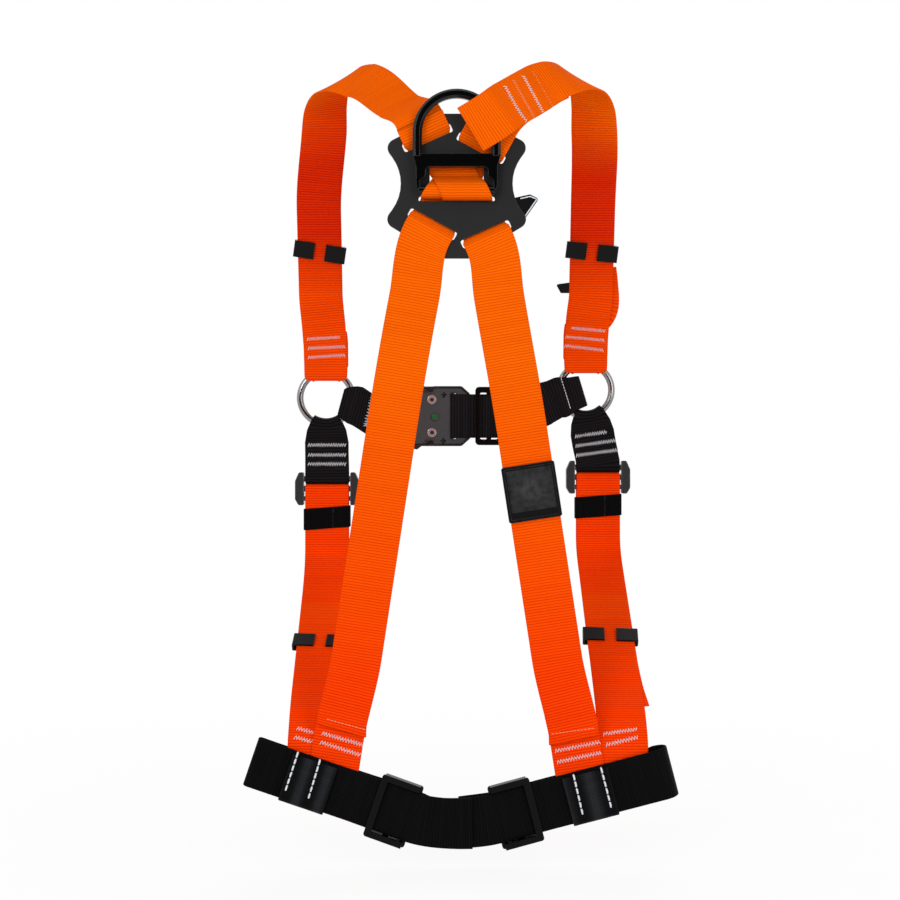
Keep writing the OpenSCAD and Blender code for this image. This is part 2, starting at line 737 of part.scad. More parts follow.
module at_buckle(y) {
  translate(buckle_c + [0, y, 0])
    children();
}
module rivet_holes(r) {
  for (s = [1, -1])
    translate([rivet_x, s * rivet_z])
      circle(r);
}
module buckle_back_plate() {
  top = buckle_half_h;
  color(gunmetal)
    at_buckle(0)
      upright(buckle_t)
        difference() {
          polygon(rounded([
            [buckle_left, -top + 11, 3], [buckle_left + 9, -top, 4], [buckle_right - 9, -top, 4],
            [buckle_right, -top + 8, 4], [buckle_right, top - 8, 4], [buckle_right - 9, top, 4],
            [buckle_left + 9, top, 4], [buckle_left, top - 11, 3]], 4));
          rivet_holes(rivet_r + plate_fit);
          translate([bar_x - bar_slot_w, -web_slot_half])
            square([bar_slot_w, 2 * web_slot_half]);
          translate([-1.5, -0.8])
            circle(indicator_r + plate_fit);
          for (s = [1, -1])
            translate([rivet_x - 3, s * (top - 1)])
              polygon(box_outline(4.5, 5, 1.5));
        }
}
module buckle_front_plate() {
  top = buckle_half_h;
  color(gunmetal)
    at_buckle(front_y)
      upright(buckle_t)
        difference() {
          polygon(rounded([
            [buckle_left, -top + 11, 3], [buckle_left + 9, -top, 4], [cavity_right - 6, -top, 4],
            [cavity_right, -top + 6, 4], [cavity_right, top - 6, 4], [cavity_right - 6, top, 4],
            [buckle_left + 9, top, 4], [buckle_left, top - 11, 3]], 4));
          rivet_holes(rivet_r + plate_fit);
        }
}
// Tongue: head with a webbing slot, neck between the levers, nose with two notches
tongue_head_x = -60;
tongue_slot_x = -52;
tongue_nose_x = 10.5;
notch_x = 3.6;
notch_w = 5;
module buckle_tongue() {
  head = web_slot_half + 4;
  deep = tongue_half_h - hook_depth - 0.2;
  color(gunmetal)
    at_buckle(lever_y)
      upright(tongue_t)
        difference() {
          polygon(rounded([
            [tongue_head_x, -head, 3], [tongue_slot_x + 10, -head, 4],
            [tongue_slot_x + 19, -tongue_half_h, 4],
            [tongue_nose_x, -tongue_half_h, 2], [tongue_nose_x, tongue_half_h, 2],
            [tongue_slot_x + 19, tongue_half_h, 4],
            [tongue_slot_x + 10, head, 4], [tongue_head_x, head, 3]], 4));
          translate([tongue_slot_x, -web_slot_half])
            square([7, 2 * web_slot_half]);
          for (s = [1, -1])
            translate([notch_x, s > 0 ? deep : -deep - 6])
              square([notch_w, 6]);
        }
}
// Levers: a thumb pad on the outside, a hook in the tongue's notch on the inside
module lever(s) {
  low = tongue_half_h + 0.9;
  hook = tongue_half_h - hook_depth;
  mid = notch_x + notch_w / 2;
  color(gunmetal)
    at_buckle(lever_y)
      upright(tongue_t)
        mirror([0, s > 0 ? 0 : 1, 0])
          difference() {
            polygon([
              [-31, 24], [-31, buckle_half_h + 2], [-20, buckle_half_h + 3.5], [-13, buckle_half_h - 2],
              [-8, 25], [0, 23.5], [mid + 2.4, 18], [mid + 1.6, hook], [mid - 1.6, hook],
              [mid - 2, low], [rivet_x - 4, low], [-12, 17], [-20, 21]]);
            translate([rivet_x, rivet_z])
              circle(rivet_r + lever_fit);
          }
}
module buckle_upper_lever() lever(1);
module buckle_lower_lever() lever(-1);

// Torsion springs: two turns of wire round each rivet, in front of the levers
spring_r = rivet_r + spring_d / 2 + 0.3;
spring_rings = 20;
spring_sides = 6;
function coil_point(k, j) =
  let (
    a = 360 * spring_turns * k / spring_rings,
    b = 360 * j / spring_sides,
    r = spring_r + spring_d / 2 * cos(b)
  )
  [r * cos(a), spring_d / 2 * sin(b) + spring_rise * a / 360, r * sin(a)];
module coil() {
  n = spring_sides;
  end = spring_rings * n;
  points = [for (k = [0:spring_rings], j = [0:n - 1]) coil_point(k, j)];
  faces = concat(
    [for (k = [0:spring_rings - 1], j = [0:n - 1])
      let (a = k * n + j, b = k * n + (j + 1) % n)
      each [[a, b, b + n], [a, b + n, a + n]]],
    [for (j = [1:n - 2]) [0, j + 1, j]],
    [for (j = [1:n - 2]) [end, end + j, end + j + 1]]);
  polyhedron(points, faces);
}
module buckle_springs() {
  color(steel)
    at_buckle(spring_y + spring_d / 2)
      for (s = [1, -1])
        translate([rivet_x, 0, s * rivet_z])
          coil();
}
module buckle_rivets() {
  length = front_y + buckle_t;
  color(steel)
    at_buckle(0)
      for (s = [1, -1])
        translate([rivet_x, 0, s * rivet_z])
          rotate([-90, 0, 0]) {
            cylinder(r = rivet_r, h = length);
            translate([0, 0, -rivet_head_t])
              cylinder(r = rivet_head_r, h = rivet_head_t);
            translate([0, 0, length])
              cylinder(r = rivet_head_r, h = rivet_head_t);
          }
}
module lock_indicator() {
  color([0.1, 0.62, 0.24])
    at_buckle(0)
      translate([-1.5, -0.4, -0.8])
        rotate([-90, 0, 0])
          cylinder(r = indicator_r, h = buckle_t + 0.4);
}

// Chest webbing
side_loop_angle = 36;
plate_wrap = buckle_t / 2 + lay + web_t / 2;
tongue_wrap = tongue_t / 2 + lay + web_t / 2;
module left_chest_strap() {
  c = ring_place(L);
  bar = buckle_c + [tongue_slot_x, lever_y + tongue_t / 2, 0];
  out = unit([1, 0, -0.27]);
  across = [-out[2], 0, out[0]];
  up = [0, 0, 1];
  clear = ring_r + wire_r + 3;
  near = [0, -1, 0];
  near_side = [
    [bar + near * tongue_wrap + [-2.5, 0, 0], up, web_w, 1],
    [bar + near * tongue_wrap + [-10, 0, 0], up, web_w, 1],
    [c + out * clear + near * wire_wrap, across, web_w - 4, 1]];
  far_side = [
    [c + out * clear - near * wire_wrap, across, web_w - 4, 1],
    [bar - near * tongue_wrap + [-10, 0, 0], up, web_w, 1],
    [bar - near * tongue_wrap + [-0.5, 0, 0], up, web_w, 1]];
  color(black)
    sheet(concat(
      rows(frames(near_side, 3), loop_columns),
      ring_loop(c, out, across, side_loop_angle, loop_columns),
      rows(frames(far_side, 3), loop_columns),
      backwards(bar_turn(bar, [1, 0, 0], up, tongue_wrap, web_w, loop_columns))));
}
slider_x = 34;
slider_main_y = chest_depth - 5.9;
module right_chest_strap() {
  c = ring_place(R);
  bar = buckle_c + [bar_x, buckle_t / 2, 0];
  out = unit([-1, 0, -0.3]);
  across = [out[2], 0, -out[0]];
  up = [0, 0, 1];
  clear = ring_r + wire_r + 3;
  near = [0, -1, 0];
  tail = [
    [[82, slider_main_y + pitch + 0.2, -ring_drop - 10], up, web_w],
    [[92, chest_depth - 2, -ring_drop - 6], up, web_w],
    [c + out * clear - near * wire_wrap, across, web_w - 4]];
  main = concat([
    [c + out * clear + near * wire_wrap, across, web_w - 4],
    [[88, slider_main_y, -ring_drop - 7.5], up, web_w],
    [[64, slider_main_y, buckle_c[2] + 2], up, web_w]],
    straight([54, slider_main_y, buckle_c[2]], [15, slider_main_y, buckle_c[2]], up, web_w),
    [[bar + near * plate_wrap + [6, 0, 0], up, web_w],
    [bar + near * plate_wrap + [2, 0, 0], up, web_w]]);
  back = [
    [bar - near * plate_wrap + [2, 0, 0], up, web_w],
    [bar - near * plate_wrap + [12, 0, 0], up, web_w],
    [[slider_x + 10, bar[1] + plate_wrap, buckle_c[2]], up, web_w]];
  color(black)
    sheet(concat(
      rows(frames(tail, 3), loop_columns),
      backwards(ring_loop(c, out, across, side_loop_angle, loop_columns)),
      rows(frames(main, 3), loop_columns),
      bar_turn(bar, [-1, 0, 0], up, plate_wrap, web_w, loop_columns),
      rows(frames(back, 2), loop_columns)));
}
// Three-bar slider: outer bars on the near side of the webbing, centre bar behind it
slider_w = 28;
slider_h = 60;
slider_bar = 5;
slider_t = 2.4;
module chest_slider() {
  rail_low = web_slot_half + 0.5;
  near_y = slider_main_y - web_t / 2 - lay - slider_t;
  far_y = slider_main_y + web_t / 2 + lay;
  color(gunmetal)
    translate([slider_x, 0, buckle_c[2]]) {
      translate([0, near_y, 0])
        upright(slider_t)
          difference() {
            polygon(box_outline(slider_w / 2, slider_h / 2, 4));
            polygon(box_outline(slider_w / 2 - slider_bar, rail_low, 1.5));
          }
      for (s = [L, R])
        translate([-4, near_y, s > 0 ? rail_low : -slider_h / 2])
          cube([8, far_y - near_y + slider_t, slider_h / 2 - rail_low]);
      translate([-2.5, far_y, -slider_h / 2])
        cube([5, slider_t, slider_h]);
    }
}

// Labels
module rubber_patch() {
  w = web_w + 3;
  h = 50;
  rim = 2.4;
  base_t = 1.4;
  middle = mix([57, back_run_y, patch_high], [90, back_run_y, patch_low], 0.3);
  color(black)
    translate(middle + [0, -web_t / 2 - lay, 0])
      rotate([0, -atan2(33, patch_high - patch_low), 0])
        translate([0, -base_t, 0]) {
          upright(base_t)
            polygon(box_outline(w / 2, h / 2, 2));
          translate([0, -0.8, 0])
            upright(0.81)
              difference() {
                polygon(box_outline(w / 2, h / 2, 2));
                polygon(box_outline(w / 2 - rim, h / 2 - rim, 1));
              }
        }
}
tag_t = 1.4;
module dorsal_tag() {
  color(black)
    translate(on_plate(0, 0, plate_t + lay))
      upright(tag_t)
        polygon(rounded([[43, -12, 1], [66, -7, 2], [74, -11, 2], [60, -31, 2], [46, -24, 1]], 3));
}
// Front tag and label pocket lie on the far side of the right front strap
function front_point(z) =
  [ring_x + 5, mix(front_top_y, front_end_y, (clip_top - z) / (clip_top - clip_end)), z];
module front_tag() {
  run = upper_clip_run();
  lean = atan2(run[1], run[2]);
  color(black)
    translate(front_point(-183))
      rotate([-lean, 0, 0])
        translate([0, web_t / 2 + lay, 0])
          upright(tag_t)
            polygon(rounded([[-15, -6, 1], [-15, 6, 1], [-36, 3, 1.5], [-31, -6, 1]], 3));
}
module label_pocket() {
  across = [-1, 0, 0];
  run = upper_clip_run();
  off = [5, 0, 0] + [0, run[2], -run[1]] * (pitch + tag_t + 0.4);
  stations = straight(front_point(-168) + off, front_point(-190) + off, across, web_w - 4);
  color(orange)
    sheet(rows(frames(stations, 2), 2));
}

// Seat: two leg loops that lap at the centre, lowest point of the harness
junction_y = -back_depth - 7;
junction_x = [132, 119];
junction_z = [-seat_drop + 59, -seat_drop + 48];
// Rise of the seat to the outside, left and right, and its straight reach towards the centre
seat_rise = [0.34, 0.26];
seat_reach = [57, 46];
parallel_half = 40;
seat_front = -back_depth - 13;
function junction_place(side) =
  side == L ? [-junction_x[0], junction_y, junction_z[0]] : [junction_x[1], junction_y, junction_z[1]];
function rise(side) = side == L ? seat_rise[0] : seat_rise[1];
function seat_out(side) = unit([side, 0, rise(side)]);
function seat_across(side) = unit([-rise(side) * side, 0, 1]);
function seat_centre(side) = [0, seat_front + (side == L ? 0 : pitch + 0.9), -seat_drop + web_w / 2];
function seat_inner(side) = junction_place(side) - seat_out(side) * parallel_half;
function seat_bend(side) =
  let (straight_end = seat_inner(side) - seat_out(side) * (side == L ? seat_reach[0] : seat_reach[1]))
  [straight_end[0], mix(junction_y, seat_centre(side)[1], 0.7), straight_end[2]];
end_r = [3.4, 11];
module leg_strap(side) {
  j = junction_place(side);
  out = seat_out(side);
  up = seat_across(side);
  r = side == L ? end_r[0] : end_r[1];
  reach = side == L ? 11 : 26;
  middle = seat_centre(side);
  inner = seat_inner(side);
  bend = seat_bend(side);
  outer = j + out * parallel_half;
  end = outer + out * reach;
  run_in = unit(inner - bend);
  lap = side == L ? 14 : 20;
  depth = 3 * pitch + lay;
  rear = concat(
    [[middle - [side * lap, 0, 0] + [0, side == L ? 0 : 2.2, 0], up, web_w],
      [middle, up, web_w]],
    straight(bend, inner - run_in * 8, up, web_w),
    straight(inner, outer, up, web_w),
    [[end, up, web_w]]);
  back_end = end + [0, 2 * r, 0];
  fore = concat(
    [[back_end, up, web_w]],
    straight(outer + [0, depth, 0], inner + [0, depth, 0], up, web_w),
    [[bend + [0, depth + 2, 0], up, web_w],
      [middle + (side == L ? [-28, 8.5, 0] : [4, 6.5, 0]), up, web_w]]);
  color(black)
    sheet(concat(
      rows(frames(rear, 3), 2),
      [for (k = [1:5]) let (a = 180 * k / 6)
        row(end + [0, r - r * cos(a), 0] + out * r * sin(a), up, web_w, 2)],
      rows(frames(fore, 3), 2)));
}
module left_leg_strap() leg_strap(L);
module right_leg_strap() leg_strap(R);

// Sleeve of folded webbing, sewn round the leg loop where the orange straps end
module junction_sleeve(side) {
  room = 3 * pitch + web_t + 3 * lay;
  half_h = web_w / 2 + lay;
  near = -web_t / 2 - lay;
  lean = atan2(side * rise(side), 1);
  color(black)
    translate(junction_place(side))
      rotate([0, -lean, 0])
        rotate([90, 0, 90])
          translate([0, 0, -sleeve_l / 2])
            linear_extrude(sleeve_l)
              difference() {
                polygon(rounded([
                  [near - web_t, -half_h - web_t, 1.4], [near + room + web_t, -half_h - web_t, 1.4],
                  [near + room + web_t, half_h - 3, 0.5], [near - web_t, half_h - 3, 0.5]], 3));
                translate([near, -half_h])
                  square([room, 2 * half_h + 1]);
              }
}
module left_junction_sleeve() junction_sleeve(L);
module right_junction_sleeve() junction_sleeve(R);

// Leg adjuster: outer bar on the near side of the webbing, two bars behind it, rails past its edges
leg_adj_share = [0.7, 0.62];
leg_adj_h = web_w + 13;
leg_bar_w = 6;
leg_corner = 2.5;
leg_gap = 0.8;
function leg_adjuster_place(side) =
  mix(seat_inner(side), seat_bend(side), side == L ? leg_adj_share[0] : leg_adj_share[1]);
module leg_bar() {
  upright(leg_adj_t)
    polygon(box_outline(leg_bar_w / 2, leg_adj_h / 2, leg_corner));
}
module leg_adjuster(side) {
  run = unit(seat_inner(side) - seat_bend(side));
  yaw = atan2(run[1], side * run[0]);
  lift = atan2(run[2], norm([run[0], run[1]]));
  near = -web_t / 2 - leg_gap - leg_adj_t;
  far = web_t / 2 + leg_gap;
  half_l = leg_adj_l / 2;
  rail = leg_adj_h / 2 - web_w / 2 - 1;
  color(black)
    translate(leg_adjuster_place(side))
      mirror([side == L ? 1 : 0, 0, 0])
        rotate([0, 0, yaw])
          rotate([0, -lift, 0]) {
            for (s = [1, -1])
              translate([-half_l + leg_corner, near, s > 0 ? web_w / 2 + 1 : -leg_adj_h / 2])
                cube([leg_adj_l - 2 * leg_corner, far - near + leg_adj_t, rail]);
            translate([half_l - leg_bar_w / 2, near, 0])
              leg_bar();
            for (x = [leg_bar_w / 2 - half_l, 0])
              translate([x, far, 0])
                leg_bar();
          }
}
module left_leg_adjuster() leg_adjuster(L);
module right_leg_adjuster() leg_adjuster(R);

dorsal_plate();
dorsal_ring();
left_back_strap();
right_back_strap();
right_shoulder_strap();
shoulder_tab();
left_chest_ring();
right_chest_ring();
left_lower_loop();
right_lower_loop();
left_adjuster_frame();
right_adjuster_frame();
left_adjuster_bar();
right_adjuster_bar();
left_lower_strap();
right_lower_strap();
left_keeper();
right_keeper();
left_upper_clip();
right_upper_clip();
left_lower_clip();
right_lower_clip();
left_chest_strap();
right_chest_strap();
chest_slider();
buckle_back_plate();
buckle_front_plate();
buckle_tongue();
buckle_upper_lever();
buckle_lower_lever();
buckle_springs();
buckle_rivets();
lock_indicator();
rubber_patch();
dorsal_tag();
front_tag();
label_pocket();
left_leg_strap();
right_leg_strap();
left_junction_sleeve();
right_junction_sleeve();
left_leg_adjuster();
right_leg_adjuster();
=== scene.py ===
# %% [markdown]
# # A safety harness, dressed over its CAD frame
# A fall-arrest harness is a few metres of webbing, threaded and sewn through fittings of metal and plastic.
# The CAD model gives every plate, ring, buckle and strap its place. Its hard parts could be modelled again,
# but their meshes are right already, so they only get materials. The webbing is remade, because woven cloth
# with folds and thread needs more points than a CAD solid carries. The viewer stands behind the wearer: x
# runs to the right, y away from the viewer, z up.

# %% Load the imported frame
import math
import random
from functools import partial

import bpy
import numpy as np
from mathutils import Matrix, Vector


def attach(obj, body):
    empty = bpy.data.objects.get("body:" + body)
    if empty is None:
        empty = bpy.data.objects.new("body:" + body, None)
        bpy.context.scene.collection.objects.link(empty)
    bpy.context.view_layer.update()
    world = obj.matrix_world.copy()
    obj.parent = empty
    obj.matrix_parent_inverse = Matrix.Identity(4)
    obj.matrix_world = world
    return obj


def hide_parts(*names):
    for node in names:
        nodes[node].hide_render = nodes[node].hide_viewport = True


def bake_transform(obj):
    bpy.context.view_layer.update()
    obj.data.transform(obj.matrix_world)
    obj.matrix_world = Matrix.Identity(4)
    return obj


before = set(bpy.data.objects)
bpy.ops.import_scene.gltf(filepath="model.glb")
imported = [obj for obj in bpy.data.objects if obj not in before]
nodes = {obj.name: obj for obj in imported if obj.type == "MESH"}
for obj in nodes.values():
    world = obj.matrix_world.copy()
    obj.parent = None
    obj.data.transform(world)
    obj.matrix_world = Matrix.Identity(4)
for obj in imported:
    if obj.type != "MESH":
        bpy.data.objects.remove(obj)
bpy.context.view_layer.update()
SEED = 4
random.seed(SEED)
MM = 0.001

# %% [markdown]
# ## Camera
# The photograph looks level at the back of a harness that hangs as if it were worn. A camera could be moved
# until the picture seems right. Here its distance and focal length were worked out from the webbing, which
# is 45 mm wide both at the back and at the chest. The same numbers turn a point of the model into a pixel
# of the picture, which places the stitches later on.

# %% Camera
PICTURE = 900
SENSOR = 36.0
EYE = np.array([-6.0, -1500.0, -350.0])
FOCAL_PX = 1556.0

camera_data = bpy.data.cameras.new("camera")
camera_data.sensor_width = SENSOR
camera_data.lens = FOCAL_PX / PICTURE * SENSOR
camera = bpy.data.objects.new("camera", camera_data)
camera.location = Vector(EYE * MM)
camera.rotation_euler = (math.radians(90), 0, 0)
scene = bpy.context.scene
scene.collection.objects.link(camera)
scene.camera = camera


def to_pixel(points):
    """Pixels of points in millimetres."""
    points = np.asarray(points, float)
    depth = points[..., 1] - EYE[1]
    px = PICTURE / 2 + (points[..., 0] - EYE[0]) * FOCAL_PX / depth
    py = PICTURE / 2 - (points[..., 2] - EYE[2]) * FOCAL_PX / depth
    return np.stack([px, py], -1)


print("camera lens", round(camera_data.lens, 2), "mm")

# %% [markdown]
# ## Routes of the webbing
# Webbing bends along its length and hardly at all across it. A bevelled curve could draw it, but such a
# curve twists where it likes. So a strap is a list of stations: a centre, the direction across the strap, a
# width and a skew. Skew 1 keeps the direction across as it is given, and skew 0 turns it square to the run.

# %% Stations
WEB = 45.0
STEP = 2.5
SELVEDGE, ROUNDED = 0.8, 0.3
INSIDE = np.linspace(-1, 1, 11) * (0.5 - SELVEDGE / WEB)
ACROSS = np.concatenate([[-0.5, -0.5 + ROUNDED / WEB], INSIDE, [0.5 - ROUNDED / WEB, 0.5]])


def vec(*numbers):
    return np.array(numbers, float)


def unit(v):
    return v / np.linalg.norm(v)


def mix(a, b, t):
    return a + (b - a) * t


def turn(x, z, degrees):
    a = math.radians(degrees)
    return x * math.cos(a) - z * math.sin(a), x * math.sin(a) + z * math.cos(a)


def station(centre, across, width=WEB, skew=0.0):
    return (np.array(centre, float), unit(np.array(across, float)), float(width), float(skew))


def straight(a, b, across, width=WEB):
    """Four stations on one line, so that the middle stretch stays straight."""
    a, b = np.array(a, float), np.array(b, float)
    return [station(mix(a, b, t), across, width) for t in (0, 0.1, 0.9, 1)]


print("webbing is", WEB, "mm wide")

# %% [markdown]
# Between two stations a strap follows a smooth curve. One of Blender's own curves could do that, but here
# every step along it also needs a direction across and a width. So the rows of points are worked out one by
# one.

# %% Rows of a strap
def run_at(points, i):
    """The direction of a route at one of its stations."""
    if i == 0:
        return unit(points[1] - points[0])
    if i == len(points) - 1:
        return unit(points[i] - points[i - 1])
    a, b = points[i] - points[i - 1], points[i + 1] - points[i]
    la, lb = np.linalg.norm(a), np.linalg.norm(b)
    return unit(a * lb / la + b * la / lb)


def strap_rows(stations):
    """Rows of points on the middle surface of a strap, every few millimetres along its route."""
    p = [s[0] for s in stations]
    fine = []
    for i in range(len(p) - 1):
        span = np.linalg.norm(p[i + 1] - p[i])
        d0, d1 = run_at(p, i) * span, run_at(p, i + 1) * span
        count = max(2, math.ceil(span / STEP))
        a, b = stations[i], stations[i + 1]
        for k in range(count):
            t = k / count
            t2, t3 = t * t, t * t * t
            c = (p[i] * (2 * t3 - 3 * t2 + 1) + d0 * (t3 - 2 * t2 + t)
                 + p[i + 1] * (3 * t2 - 2 * t3) + d1 * (t3 - t2))
            fine.append((c, unit(mix(a[1], b[1], t)), mix(a[2], b[2], t), mix(a[3], b[3], t)))
    fine.append(stations[-1])
    rows = []
    for i, (c, across, width, skew) in enumerate(fine):
        run = unit(fine[min(i + 1, len(fine) - 1)][0] - fine[max(i - 1, 0)][0])
        across = unit(across - run * across.dot(run) * (1 - skew))
        rows.append(c + np.outer(ACROSS * width, across))
    return rows


print("columns across a strap:", len(ACROSS))

# %% [markdown]
# Where a strap turns back round a ring or a bar, the turn is tighter than stations can follow. It could be
# left to a simulation, but the shape is known: half a circle about the wire. So three small functions write
# the rows of such turns: tight on a ring, hanging loose in a ring, and round a straight bar.

# %% Turns round rings and bars
def ring_loop(c, out, across, half_angle, ring_r, wrap, steps=16):
    """Webbing looped on a round ring: from its near side, through it, to its far side."""
    rows = []
    for k in range(steps + 1):
        a = math.radians(-90 + 180 * k / steps)
        r = ring_r - wrap * math.cos(a)
        b = np.radians(half_angle * 2 * ACROSS)
        spread = np.outer(np.cos(b), out) + np.outer(np.sin(b), across)
        rows.append(c + spread * r + vec(0, wrap * math.sin(a), 0))
    return rows


def slack_turn(c, out, across, steps):
    """Rows of a loop that hangs loose in a ring. A step is a distance along out, a depth and a half width."""
    return [c + out * d + vec(0, -near, 0) + np.outer(ACROSS * 2 * half, across) for d, near, half in steps]


def bar_turn(c, bulge, across, r, width=WEB, steps=12):
    """Webbing turned round a bar: near side, then the side that bulge points to, then the far side."""
    rows = []
    for k in range(steps + 1):
        a = math.pi * k / steps
        centre = c + vec(0, -r * math.cos(a), 0) + np.array(bulge, float) * r * math.sin(a)
        rows.append(centre + np.outer(ACROSS * width, across))
    return rows


print("a bar turn has", len(bar_turn(vec(0, 0, 0), vec(0, 0, 1), vec(1, 0, 0), 1)), "rows")

# %% [markdown]
# ## Where each strap runs
# These are the measures of the CAD frame in millimetres: the plate, its slots, the rings, and the room that
# webbing takes. They could be read off the meshes at run time, but named sizes are easier to follow and to
# change. Every route below starts and ends on one of these parts.

# %% Measures shared by the routes
L, R = -1, 1
SIDES = ((L, "left"), (R, "right"))
X, UP, NEAR = vec(1, 0, 0), vec(0, 0, 1), vec(0, -1, 0)
# Webbing is THICK, and LAY is the room between two layers. A wrap is the distance from the middle of a wire
# or bar to the middle of the webbing on it.
THICK, LAY = 1.6, 0.3
PITCH = THICK + LAY
WIRE_WRAP, BAR_WRAP, FOOT_WRAP = 5.1, 4.1, 6.35
CHEST_RING = {L: vec(-134, 110, -296), R: vec(134, 110, -288)}
RING_R = 27.0
CLEAR = RING_R + 6.5
# Places on the plate are x and z from its middle. Depth runs away from the viewer, from its near face.
PLATE_Y, PLATE_Z, PLATE_T = -103.0, -113.0, 2.5
OUTER_SLOT, OUTER_ANGLE = (26.3, -43.3), 24.0
INNER_SLOT, INNER_ANGLE = (21.9, 34.2), -28.7
BEHIND, FRONT = 4.85, -1.3
# The D-ring's foot, and the edge of the window that the straps turn over to reach it.
AXIS_Z, RING_DEPTH = -5.0, -6.5
WINDOW_LOW, EDGE_TURN, CROSS_Z = -13.6, 2.2, 7.0


def on_plate(x, z, depth):
    return vec(x, PLATE_Y + depth, PLATE_Z + z)


print("layers of webbing lie", PITCH, "mm apart")

# %% [markdown]
# The two back straps pass the lower slots of the dorsal plate, cross in its window over the foot of the
# D-ring, and leave through the upper slots. That weave is what holds the D-ring when somebody falls. It
# could be faked with separate strips on both faces, but then it would come apart in any other view, so each
# strap is one run. `weave_path` is that run in height and depth.

# %% Passing the dorsal plate
SLOT_SLANT, SLOT_NARROW = 0.7, 4
weave_path = [(WINDOW_LOW - 3, BEHIND), (WINDOW_LOW - 0.6, BEHIND),
              (WINDOW_LOW + 0.7 * EDGE_TURN, PLATE_T + 0.72 * EDGE_TURN), (WINDOW_LOW + EDGE_TURN, PLATE_T),
              (AXIS_Z - FOOT_WRAP, RING_DEPTH / 2)]
for a in (math.radians(degrees) for degrees in range(-90, 61, 25)):
    weave_path.append((AXIS_Z + FOOT_WRAP * math.sin(a), RING_DEPTH - FOOT_WRAP * math.cos(a)))
weave_path += [(2.5, -6.2), (5, -1.9), (7.2, 2.0), (8.8, 4.35), (10.6, BEHIND), (12.5, BEHIND)]
weave_path = [np.array(w, float) for w in weave_path]


def weave_stations(low, offset):
    """The run through the window, from a lower slot. Offset puts one strap above the other."""
    out = []
    for i, (z, depth) in enumerate(weave_path):
        run = unit(weave_path[min(i + 1, len(weave_path) - 1)] - weave_path[max(i - 1, 0)])
        x = low[0] * (CROSS_Z - z) / (CROSS_Z - low[1])
        out.append(station(on_plate(x, z + offset * run[1], depth - offset * run[0]), X, WEB, 1))
    return out


def slot_pass(place, angle, d0, d1, lead0, lead1):
    """Stations through a slanting slot, from depth d0 to depth d1, with a lead before and after it."""
    up, mid = turn(0, 1, angle), PLATE_T / 2
    across = turn(1, 0, angle)
    q0, q1 = -abs(mid - d0) / SLOT_SLANT, abs(mid - d1) / SLOT_SLANT
    steps = [(q0 - lead0, d0), (q0 - 1, d0), (q0 - 0.5, d0), (q0 + 0.7, mix(d0, mid, 0.2)), (0, mid),
             (q1 - 0.7, mix(d1, mid, 0.2)), (q1 + 0.5, d1), (q1 + 1, d1), (q1 + lead1, d1)]
    return [station(on_plate(place[0] + up[0] * q, place[1] + up[1] * q, d), (across[0], 0, across[1]),
                    WEB - SLOT_NARROW if d > PLATE_T else WEB, 1) for q, d in steps]


def opposite(place):
    return (-place[0], -place[1])


print("weave stations:", len(weave_path))

# %% [markdown]
# The long back straps run nearly straight from the seat to the plate. Over a shoulder the strap winds like
# a thread on a bolt, because the shoulder slopes to the outside. A plain arc would leave it on edge at the
# chest, so the stations follow a helix round a sloping axis.

# %% The back and the shoulders
# Each pair is a distance from the middle and a height.
BACK_FOOT = ((112, -648), (106, -610))
BACK_LONG = ((90, -538), (57, -323))
BACK_TOP = (38, -213)
BACK_Y, BACK_TILT, FOOT_TILT = -108.0, 0.155, 0.2
SLOPE = math.radians(30)
SHOULDER_R = 45
LEFT_CREST, RIGHT_CREST = vec(-118, 0, 0.8), vec(122, -25, -3.2)
SEAM_LOW, SEAM_ACROSS = vec(51, -100, -36.5), vec(-0.6, -0.02, 0.75)
# Degrees round the shoulder, from the back over the crest to the chest.
LEFT_WINDING, RIGHT_WINDING, SEWN_WINDING = (-50, -22, 6, 35, 65), (-25, 5, 35, 65), (-66, -52)


def back_run(side):
    tilt = (1, 0, side * BACK_TILT)
    foot = [(side * x, BACK_Y - 0.1, z) for x, z in BACK_FOOT]
    long = [(side * x, BACK_Y, z) for x, z in BACK_LONG]
    return (straight(*foot, (1, 0, side * FOOT_TILT)) + straight(*long, tilt)
            + [station((side * BACK_TOP[0], BACK_Y + 1.5, BACK_TOP[1]), tilt)])


def shoulder_station(side, crest, degrees, inset=0.0):
    a = math.radians(degrees)
    inner = vec(-side * math.cos(SLOPE), 0, math.sin(SLOPE))
    up = vec(side * math.sin(SLOPE), 0, math.cos(SLOPE))
    forward = vec(0, 1, 0)
    radial = up * math.cos(a) + forward * math.sin(a)
    along = -SHOULDER_R * a * math.tan(SLOPE)
    centre = crest - up * SHOULDER_R + inner * along + radial * (SHOULDER_R - inset)
    wound = forward * math.cos(a) - up * math.sin(a)
    return station(centre, inner * math.cos(SLOPE) + wound * math.sin(SLOPE))


def sewn(inset, flip=1):
    """The stretch where a back strap is sewn under the right shoulder strap."""
    top = shoulder_station(R, RIGHT_CREST, SEWN_WINDING[0])[0]
    out = unit(np.cross(top - SEAM_LOW, SEAM_ACROSS))
    stations = [station(mix(SEAM_LOW, top, t) - out * inset, SEAM_ACROSS) for t in (0, 0.3, 0.6)]
    stations += [shoulder_station(R, RIGHT_CREST, a, inset) for a in SEWN_WINDING]
    return [(c, across * flip, w, s) for c, across, w, s in stations]


print("shoulder straps slope", round(math.degrees(SLOPE)), "degrees")

# %% [markdown]
# On the chest each shoulder strap ends in a loop through a steel ring, sewn back on itself. The photograph
# shows that the loop hangs a little loose and gathers in the ring, so its rows narrow step by step toward
# the wire. That gathering could be painted as dark lines, but real narrowing also changes the outline.

